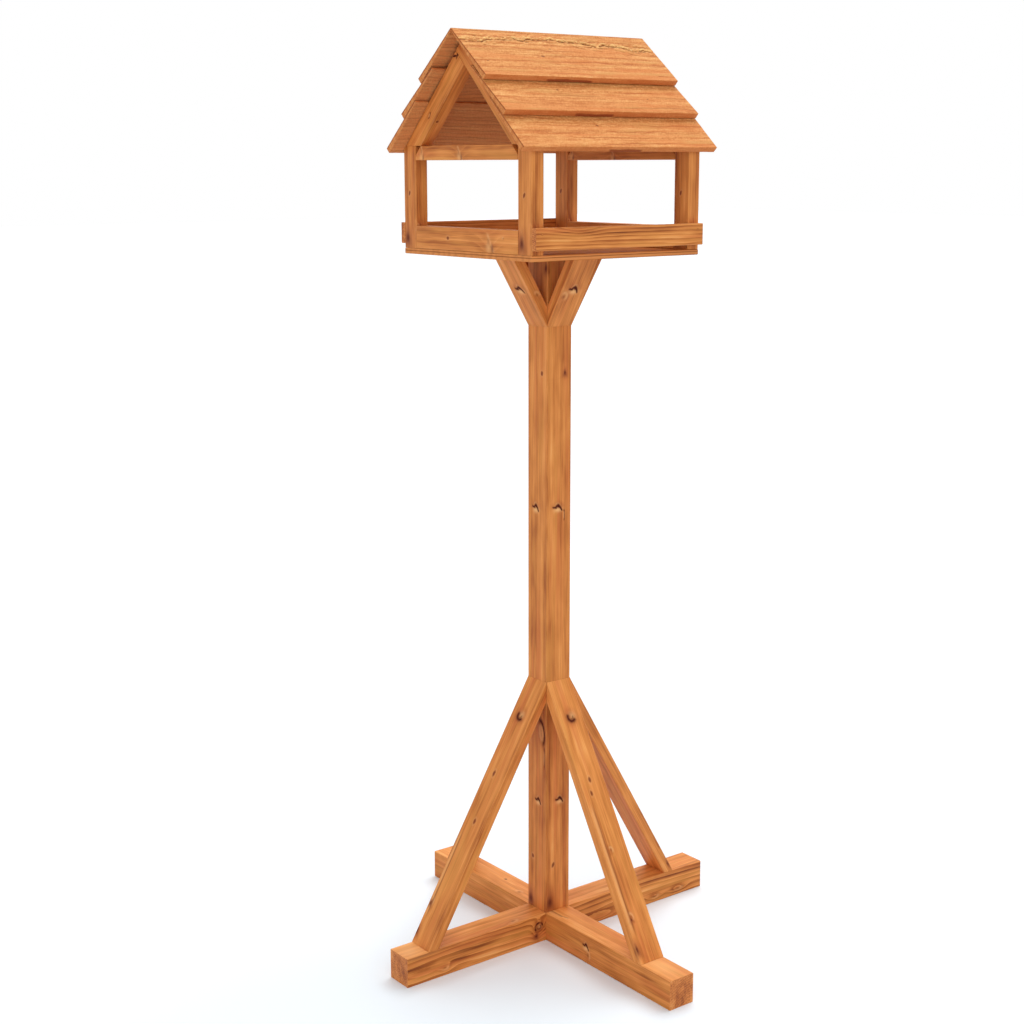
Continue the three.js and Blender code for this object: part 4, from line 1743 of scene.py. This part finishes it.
@dataclass(frozen=True)
class TornWood:
    """The torn wood along the front ridge board.

    Attributes:
        main: The long tear, from end to end of the board.
        branches: The shorter tears round it.
        splinters: How many small tears lie along it.
        lip: How high the torn wood stands, in millimetres.
        furrow: How deep the wood under it is torn out, in millimetres.
        ragged_reach: How far from the long tear the wood is ragged, in millimetres.
        fibres: How many loose fibres stand up along the long tear.
        splinter_seed: Picks where the small tears lie.
        fibre_seed: Picks where the loose fibres stand.
    """

    main: Tear = Tear((
        (-172.0, 22.9), (-152.0, 21.6), (-137.7, 25.6), (-126.0, 20.6), (-99.0, 18.8), (-75.6, 14.7),
        (-65.6, 20.3), (-53.6, 15.7), (-21.0, 15.2), (-8.0, 12.4), (-1.2, 16.5), (31.0, 17.6), (50.0, 20.0),
        (63.0, 25.1), (84.0, 21.0), (111.0, 23.6), (137.0, 31.8), (150.0, 28.0), (172.0, 31.8),
    ))
    branches: tuple[Tear, ...] = (
        Tear(((-154.0, 9.3), (-138.5, 13.2), (-129.0, 12.6), (-119.0, 8.5)), 0.6, 11.0),
        Tear(((-83.0, 9.3), (-60.0, 6.0)), 0.5, 15.0),
        Tear(((-167.0, 36.5), (-151.5, 38.8)), 0.35, 19.0),
        Tear(((-146.0, 33.5), (-101.0, 27.3)), 0.4, 23.0),
        Tear(((24.0, 29.0), (48.0, 33.0), (70.0, 35.0)), 0.5, 27.0),
        Tear(((40.0, 10.0), (90.0, 14.0)), 0.4, 31.0),
        Tear(((98.0, 31.0), (132.0, 40.0)), 0.5, 35.0),
        Tear(((120.0, 19.0), (166.0, 22.0)), 0.5, 39.0),
    )
    splinters: int = 60
    lip: float = 1.7
    furrow: float = 1.5
    ragged_reach: float = 8.5
    fibres: int = 170
    splinter_seed: int = 29
    fibre_seed: int = 19

    def tears(self) -> tuple[Tear, ...]:
        """Lists every tear, with the splinters along the long one.

        Returns:
            The tears.
        """
        draw = random.Random(self.splinter_seed)
        first, last = self.main.path[0][0], self.main.path[-1][0]
        small = []
        for number in range(self.splinters):
            start = draw.uniform(first, last - 8.0)
            length = draw.uniform(9.0, 26.0)
            down = self.main.down(start + length / 2) + draw.gauss(0.0, 3.4)
            tilt = draw.gauss(0.0, 1.6)
            path = ((start, down - tilt), (start + length, down + tilt))
            small.append(Tear(path, draw.uniform(0.35, 0.85), 50.0 + number, 1.1, 5.0, 1.2))
        return (self.main, *self.branches, *small)

    def at(self, tears: tuple[Tear, ...], along: float, down: float) -> tuple[float, float, float]:
        """Gives how far the face sinks and how it looks.

        Args:
            tears: Every tear.
            along: The place along the board, in millimetres.
            down: The place down from the board's upper edge, in millimetres.

        Returns:
            How far the face sinks, in millimetres, how pale it is, as bare fibres with a painted highlight
            on the lip, or how dark where negative, as painted shadow in the furrow, and how ragged it is,
            from zero to one.
        """
        profiles = [tear.profile(along, down) for tear in tears]
        lip = max(lip for lip, _ in profiles)
        furrow = max(furrow for _, furrow in profiles)
        ragged = math.exp(-(((down - self.main.down(along)) / self.ragged_reach) ** 2))
        return self.furrow * furrow - self.lip * lip, lip - 1.15 * furrow, ragged


@dataclass(frozen=True)
class Course:
    """One board of a slope.

    Attributes:
        name: Its place on the slope.
        streak: Where the dark streak in its thick edge starts and ends, from its middle, in millimetres.
        pips: Its small dark knots.
        shade: Makes it paler above zero, darker below it.
    """

    name: str
    streak: tuple[float, float]
    pips: tuple[Knot, ...]
    shade: float = 0.0


@dataclass(frozen=True)
class Roof:
    """The six lapped boards, rough from the saw.

    Attributes:
        sawn: The boards' finish.
        torn: The torn wood on the front ridge board.
        eased: The width of the rounding of a board's edges.
        mesh_step: The size of a board's mesh, in metres.
        fine_step: The size of the mesh of the board with the torn wood, in metres.
        roughness: How deep the sawn face is, in millimetres.
        along_axis: How nearly an edge lies along an axis to be cut for the mesh, where one is exactly.
        fibre_radius: A loose fibre's radius.
        fibre_length: A loose fibre's length.
        fibre_inset: How far from the board's ends the fibres keep, in millimetres.
        fibre_point: How thin a fibre's tip is, as a share of its foot.
        fibre_flatness: How flat it is, as a share of its width.
        seed: Picks the boards' noise.
        slope_step: How far apart the seeds of the two slopes lie.
        course_step: How far apart the seeds of the boards of a slope lie.
        courses: The boards of a slope, from the eaves up.
    """

    sawn: SawnBoard
    torn: TornWood
    eased: float = 0.7 * MM
    mesh_step: float = 2.2 * MM
    fine_step: float = 1.2 * MM
    roughness: float = 0.4
    along_axis: float = 0.97
    fibre_radius: float = 0.42 * MM
    fibre_length: float = 8.0 * MM
    fibre_inset: float = 7.0
    fibre_point: float = 0.15
    fibre_flatness: float = 0.55
    seed: float = 301.0
    slope_step: float = 10.0
    course_step: float = 3.0
    courses: tuple[Course, ...] = (
        Course("eave", (-24.0, 34.0), (
            Knot(Face.FRONT, -22.4, 6.0, 1.3, KnotKind.PIN, stretch=1.8),
            Knot(Face.FRONT, 61.0, -28.0, 0.9, KnotKind.PIN, stretch=2.6),
        )),
        Course("middle", (-52.0, 16.0), (
            Knot(Face.FRONT, -56.6, 2.5, 1.2, KnotKind.PIN, stretch=1.8),
            Knot(Face.FRONT, 96.0, 18.0, 0.8, KnotKind.PIN, stretch=2.2),
        ), -0.05),
        Course("ridge", (-66.0, 14.0), (
            Knot(Face.FRONT, -48.0, 5.2, 1.5, KnotKind.PIN, stretch=2.2),
            Knot(Face.FRONT, -25.0, -12.2, 1.0, KnotKind.PIN, stretch=2.2),
            Knot(Face.FRONT, -150.4, 20.7, 0.7, KnotKind.PIN, stretch=2.4),
        )),
    )

    def build(self) -> None:
        """Makes the boards of both slopes and the torn wood on one of them."""
        for slope, (side, away, run) in enumerate((("front", FRONT, RIGHT), ("back", BACK, LEFT))):
            above = None
            for number, course in reversed(list(enumerate(self.courses))):
                node = f"roof_board_{side}_{course.name}"
                lie = Lie.of(node, run, facing(node, away + UP))
                is_torn = side == "front" and above is None
                seed = self.seed + self.slope_step * slope + self.course_step * number
                work = self.board(node, lie, self.fine_step if is_torn else self.mesh_step, seed, is_torn)
                piece = settle(work, node + "_sawn", node)
                finish = self.sawn.material(node + "_stain", lie, seed, course, self.lap(lie, above))
                dress(piece, finish)
                above = lie
                if is_torn:
                    self.loose_fibres(lie, finish)

    def lap(self, lie: Lie, above: Lie | None) -> float:
        """Finds where the board above ends on a board.

        Args:
            lie: How the board lies.
            above: How the board above lies, if there is one.

        Returns:
            How far aside of the board's middle that is, in millimetres, or well off the board.
        """
        if above is None:
            return -3 * lie.half.y * TO_MM
        thick_edge = above.world(Vector((0.0, above.half.y * TO_MM, 0.0)))
        return lie.local(thick_edge).y

    def board(self, node: str, lie: Lie, step: float, seed: float, is_torn: bool) -> bmesh.types.BMesh:
        """Makes one board with a rough sawn face.

        Args:
            node: The board's solid.
            lie: How it lies.
            step: The size of its mesh.
            seed: Picks its own roughness.
            is_torn: Whether it carries the torn wood.

        Returns:
            The mesh.
        """
        work = merged_copy(node)
        rounded(work, work.edges[:], self.eased, 2)
        for axis in (2, 1, 0):
            way = lie.turn[axis]
            cuts = max(int(2 * lie.half[axis] / step) - 1, 1)
            edges = [edge for edge in work.edges if self.lies_along(edge, way)]
            bmesh.ops.subdivide_edges(work, edges=edges, cuts=cuts, use_grid_fill=True)
        work.normal_update()
        torn_mark = work.verts.layers.float.new("torn")
        ragged_mark = work.verts.layers.float.new("ragged")
        half = lie.half * TO_MM
        tears = self.torn.tears()
        for vertex in work.verts:
            place = lie.local(vertex.co)
            sink = self.sawn_depth(place, seed)
            if is_torn and place.x > 0:
                torn, vertex[torn_mark], vertex[ragged_mark] = self.torn.at(tears, place.z, place.y + half.y)
                sink += torn
            vertex.co -= vertex.normal * sink * MM
        for face in work.faces:
            face.smooth = True
        return work

    def lies_along(self, edge: bmesh.types.BMEdge, way: Vector) -> bool:
        """Tells whether an edge lies along one of a board's axes."""
        return abs((edge.verts[1].co - edge.verts[0].co).normalized().dot(way)) > self.along_axis

    def sawn_depth(self, place: Vector, seed: float) -> float:
        """Gives how deep the saw has cut.

        Args:
            place: The place on the board, in millimetres.
            seed: Picks the board's own roughness.

        Returns:
            The depth, in millimetres.
        """
        fibre = noise.noise(Vector((place.x / 3, place.y / 1.8, place.z / 11 + seed)))
        bite = noise.noise(Vector((seed, place.y / 60, place.z / 2.4 + place.y * 0.05)))
        swell = noise.noise(Vector((place.x / 30, place.y / 24 + seed, place.z / 46)))
        return self.roughness * (1.0 + 0.55 * fibre + 0.3 * bite + 0.5 * swell) * 0.6

    def loose_fibres(self, lie: Lie, finish: bpy.types.Material) -> None:
        """Makes the fibres that stand up from the torn line, all in one piece.

        Args:
            lie: How the board lies.
            finish: The board's finish, which the fibres share.
        """
        draw = random.Random(self.torn.fibre_seed)
        work = bmesh.new()
        torn_mark = work.verts.layers.float.new("torn")
        half = lie.half * TO_MM
        for _ in range(self.torn.fibres):
            along = draw.uniform(self.fibre_inset - half.z, half.z - self.fibre_inset)
            vigour = self.torn.main.vigour(along)
            off = draw.gauss(0.2, 1.2)
            length = self.fibre_length * draw.uniform(0.4, 1.0) * (0.5 + 0.5 * vigour)
            radius = self.fibre_radius * draw.uniform(0.6, 1.3)
            yaw = math.radians(draw.gauss(0.0, 20.0)) + draw.choice((0.0, math.pi))
            rise = math.radians(draw.uniform(1.0, 13.0))
            made = bmesh.ops.create_cone(
                work, cap_ends=True, cap_tris=False, segments=5,
                radius1=radius, radius2=radius * self.fibre_point, depth=length)
            fibre = made["verts"]
            bmesh.ops.scale(work, vec=(self.fibre_flatness, 1.0, 1.0), verts=fibre)
            for angle, axis in ((rise, "Y"), (yaw, "X")):
                bmesh.ops.rotate(work, cent=(0, 0, 0), matrix=Matrix.Rotation(angle, 3, axis), verts=fibre)
            down = self.torn.main.down(along) + off
            lift = half.x - self.torn.lip * 0.2 + length * TO_MM * math.sin(rise) * 0.5
            seat = lie.world(Vector((lift, down - half.y, along)))
            turn = lie.turn.transposed().to_4x4()
            bmesh.ops.transform(work, matrix=Matrix.Translation(seat) @ turn, verts=fibre)
            pale = draw.uniform(0.2, 0.8)
            for vertex in fibre:
                vertex[torn_mark] = pale
        bmesh.ops.recalc_face_normals(work, faces=work.faces)
        dress(settle(work, "roof_torn_fibres", None), finish)


@dataclass(frozen=True)
class Fixings:
    """The screws and pins, which keep their solids.

    Attributes:
        zinc: The screws' finish.
        stain: The table's stain, which also covers the pins' heads.
    """

    zinc: ZincSteel
    stain: StainedTimber

    def build(self) -> None:
        """Dresses every screw, washer and pin."""
        plated = self.zinc.material("zinc_plating")
        covered = self.stain.over_metal("stained_pin")
        for name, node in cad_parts.items():
            if "screw" in name or "pin" in name:
                finish = plated if "screw" in name else covered
                dress(node, finish)
                log.info("%s: %s", name, finish.name)


@dataclass(frozen=True)
class Viewpoint:
    """The camera, where the photograph was taken from.

    Attributes:
        place: Where it stands.
        heading: How far it is turned from looking along +Y, in degrees, anticlockwise from above.
        pitch: How far it looks down, in degrees.
        roll: How far it is tilted, in degrees.
        lens: The focal length, in millimetres.
        sensor: The width of the picture behind the lens, in millimetres.
    """

    place: tuple[float, float, float] = (-1.54254, -1.90696, 1.17761)
    heading: float = -37.2636
    pitch: float = 11.6699
    roll: float = -0.1275
    lens: float = 59.238
    sensor: float = 36.0

    def build(self) -> None:
        """Makes the camera."""
        heading, pitch, roll = (math.radians(angle) for angle in (self.heading, self.pitch, self.roll))
        level = math.cos(pitch)
        forward = Vector((-math.sin(heading) * level, math.cos(heading) * level, -math.sin(pitch)))
        right = Vector((math.cos(heading), math.sin(heading), 0.0))
        up = right.cross(forward)
        tilted_right = right * math.cos(roll) + up * math.sin(roll)
        tilted_up = up * math.cos(roll) - right * math.sin(roll)
        turn = Matrix((tilted_right, tilted_up, -forward)).transposed().to_4x4()
        camera = bpy.data.cameras.new("camera")
        camera.lens = self.lens
        camera.sensor_width = self.sensor
        holder = placed("camera", camera)
        holder.matrix_world = Matrix.Translation(self.place) @ turn
        bpy.context.scene.camera = holder


@dataclass(frozen=True)
class Lamp:
    """A wide soft lamp, far away.

    Attributes:
        name: The lamp's name.
        share: How bright it makes a white surface that faces it, where one is full white.
        source: The way to the lamp.
        spread: How wide the lamp looks, in degrees.
    """

    name: str
    share: float
    source: tuple[float, float, float]
    spread: float

    def hang(self) -> None:
        """Makes the lamp."""
        lamp = bpy.data.lights.new(self.name, "SUN")
        lamp.energy = self.share * math.pi
        lamp.angle = math.radians(self.spread)
        holder = placed(self.name, lamp)
        holder.rotation_euler = Vector(self.source).to_track_quat("Z", "Y").to_euler()


@dataclass(frozen=True)
class Studio:
    """A plain white floor under soft light.

    Attributes:
        floor_size: The floor's width.
        floor_white: The floor's colour as the camera sees it, cool enough to cancel the wood's warm glow.
        floor_grey: The floor's colour as the light on the table's undersides sees it.
        dome: The strength of the light from all round.
        lamps: The lamps.
    """

    floor_size: float = 60.0
    floor_white: Colour = srgb(241, 249, 255)
    floor_grey: Colour = srgb(218, 218, 218)
    dome: float = 0.64
    lamps: tuple[Lamp, ...] = (
        Lamp("fill", 0.29, (-0.6, -0.72, 0.33), 80.0),
        Lamp("key", 0.52, (0.38, 0.16, 0.86), 44.0),
    )

    def build(self) -> None:
        """Makes the floor, the lamps and the light from all round."""
        self.lay_floor()
        for lamp in self.lamps:
            lamp.hang()
        self.fill_sky()
        bpy.context.scene.view_settings.view_transform = "Standard"

    def lay_floor(self) -> None:
        """Makes the floor, level with the undersides of the beams."""
        work = bmesh.new()
        bmesh.ops.create_grid(work, x_segments=8, y_segments=8, size=self.floor_size / 2)
        mesh = bpy.data.meshes.new("floor")
        work.to_mesh(mesh)
        work.free()
        floor = placed("floor", mesh)
        recipe = Recipe("floor_white")
        colour = recipe.blend(self.seen(recipe), self.floor_grey, self.floor_white)
        dress(floor, recipe.finish(colour, 1.0, 0.0))

    def seen(self, tree: NodeTree) -> Term:
        """Tells what the camera looks at, also by way of metal or glass, from other light.

        Args:
            tree: The material, or the light from all round.

        Returns:
            One for the camera, and zero for other light.
        """
        path = tree.node("ShaderNodeLightPath", {})
        rays = [Term(tree, path.outputs[f"Is {kind} Ray"]) for kind in ("Camera", "Glossy", "Transmission")]
        return rays[0].greater(rays[1]).greater(rays[2])

    def fill_sky(self) -> None:
        """Makes the light from all round, which the camera and glossy surfaces see as plain white."""
        world = bpy.data.worlds.new("studio")
        bpy.context.scene.world = world
        world.use_nodes = True
        sky = NodeTree(world.node_tree)
        inputs = {"Value": self.seen(sky), "To Min": self.dome, "To Max": 1.0}
        strength = sky.add("ShaderNodeMapRange", inputs)
        background = world.node_tree.nodes["Background"]
        background.inputs["Color"].default_value = (1.0, 1.0, 1.0, 1.0)
        sky.wire(strength, background.inputs["Strength"])


def write_sizes() -> None:
    """Updates the view layer."""
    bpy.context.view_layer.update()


def main() -> None:
    """Builds the whole table and its studio."""
    logging.basicConfig(level=logging.INFO, format="%(message)s")
    Viewpoint().build()
    stain = StainedTimber()
    stock = Stock(Joinery(), stain)
    Foot(stock).build()
    Mast(stock).build()
    Tray(stock, StainedPly(stain)).build()
    House(stock).build()
    Roof(SawnBoard(), TornWood()).build()
    Fixings(ZincSteel(), stain).build()
    Studio().build()
    write_sizes()


if __name__ == "__main__":
    main()
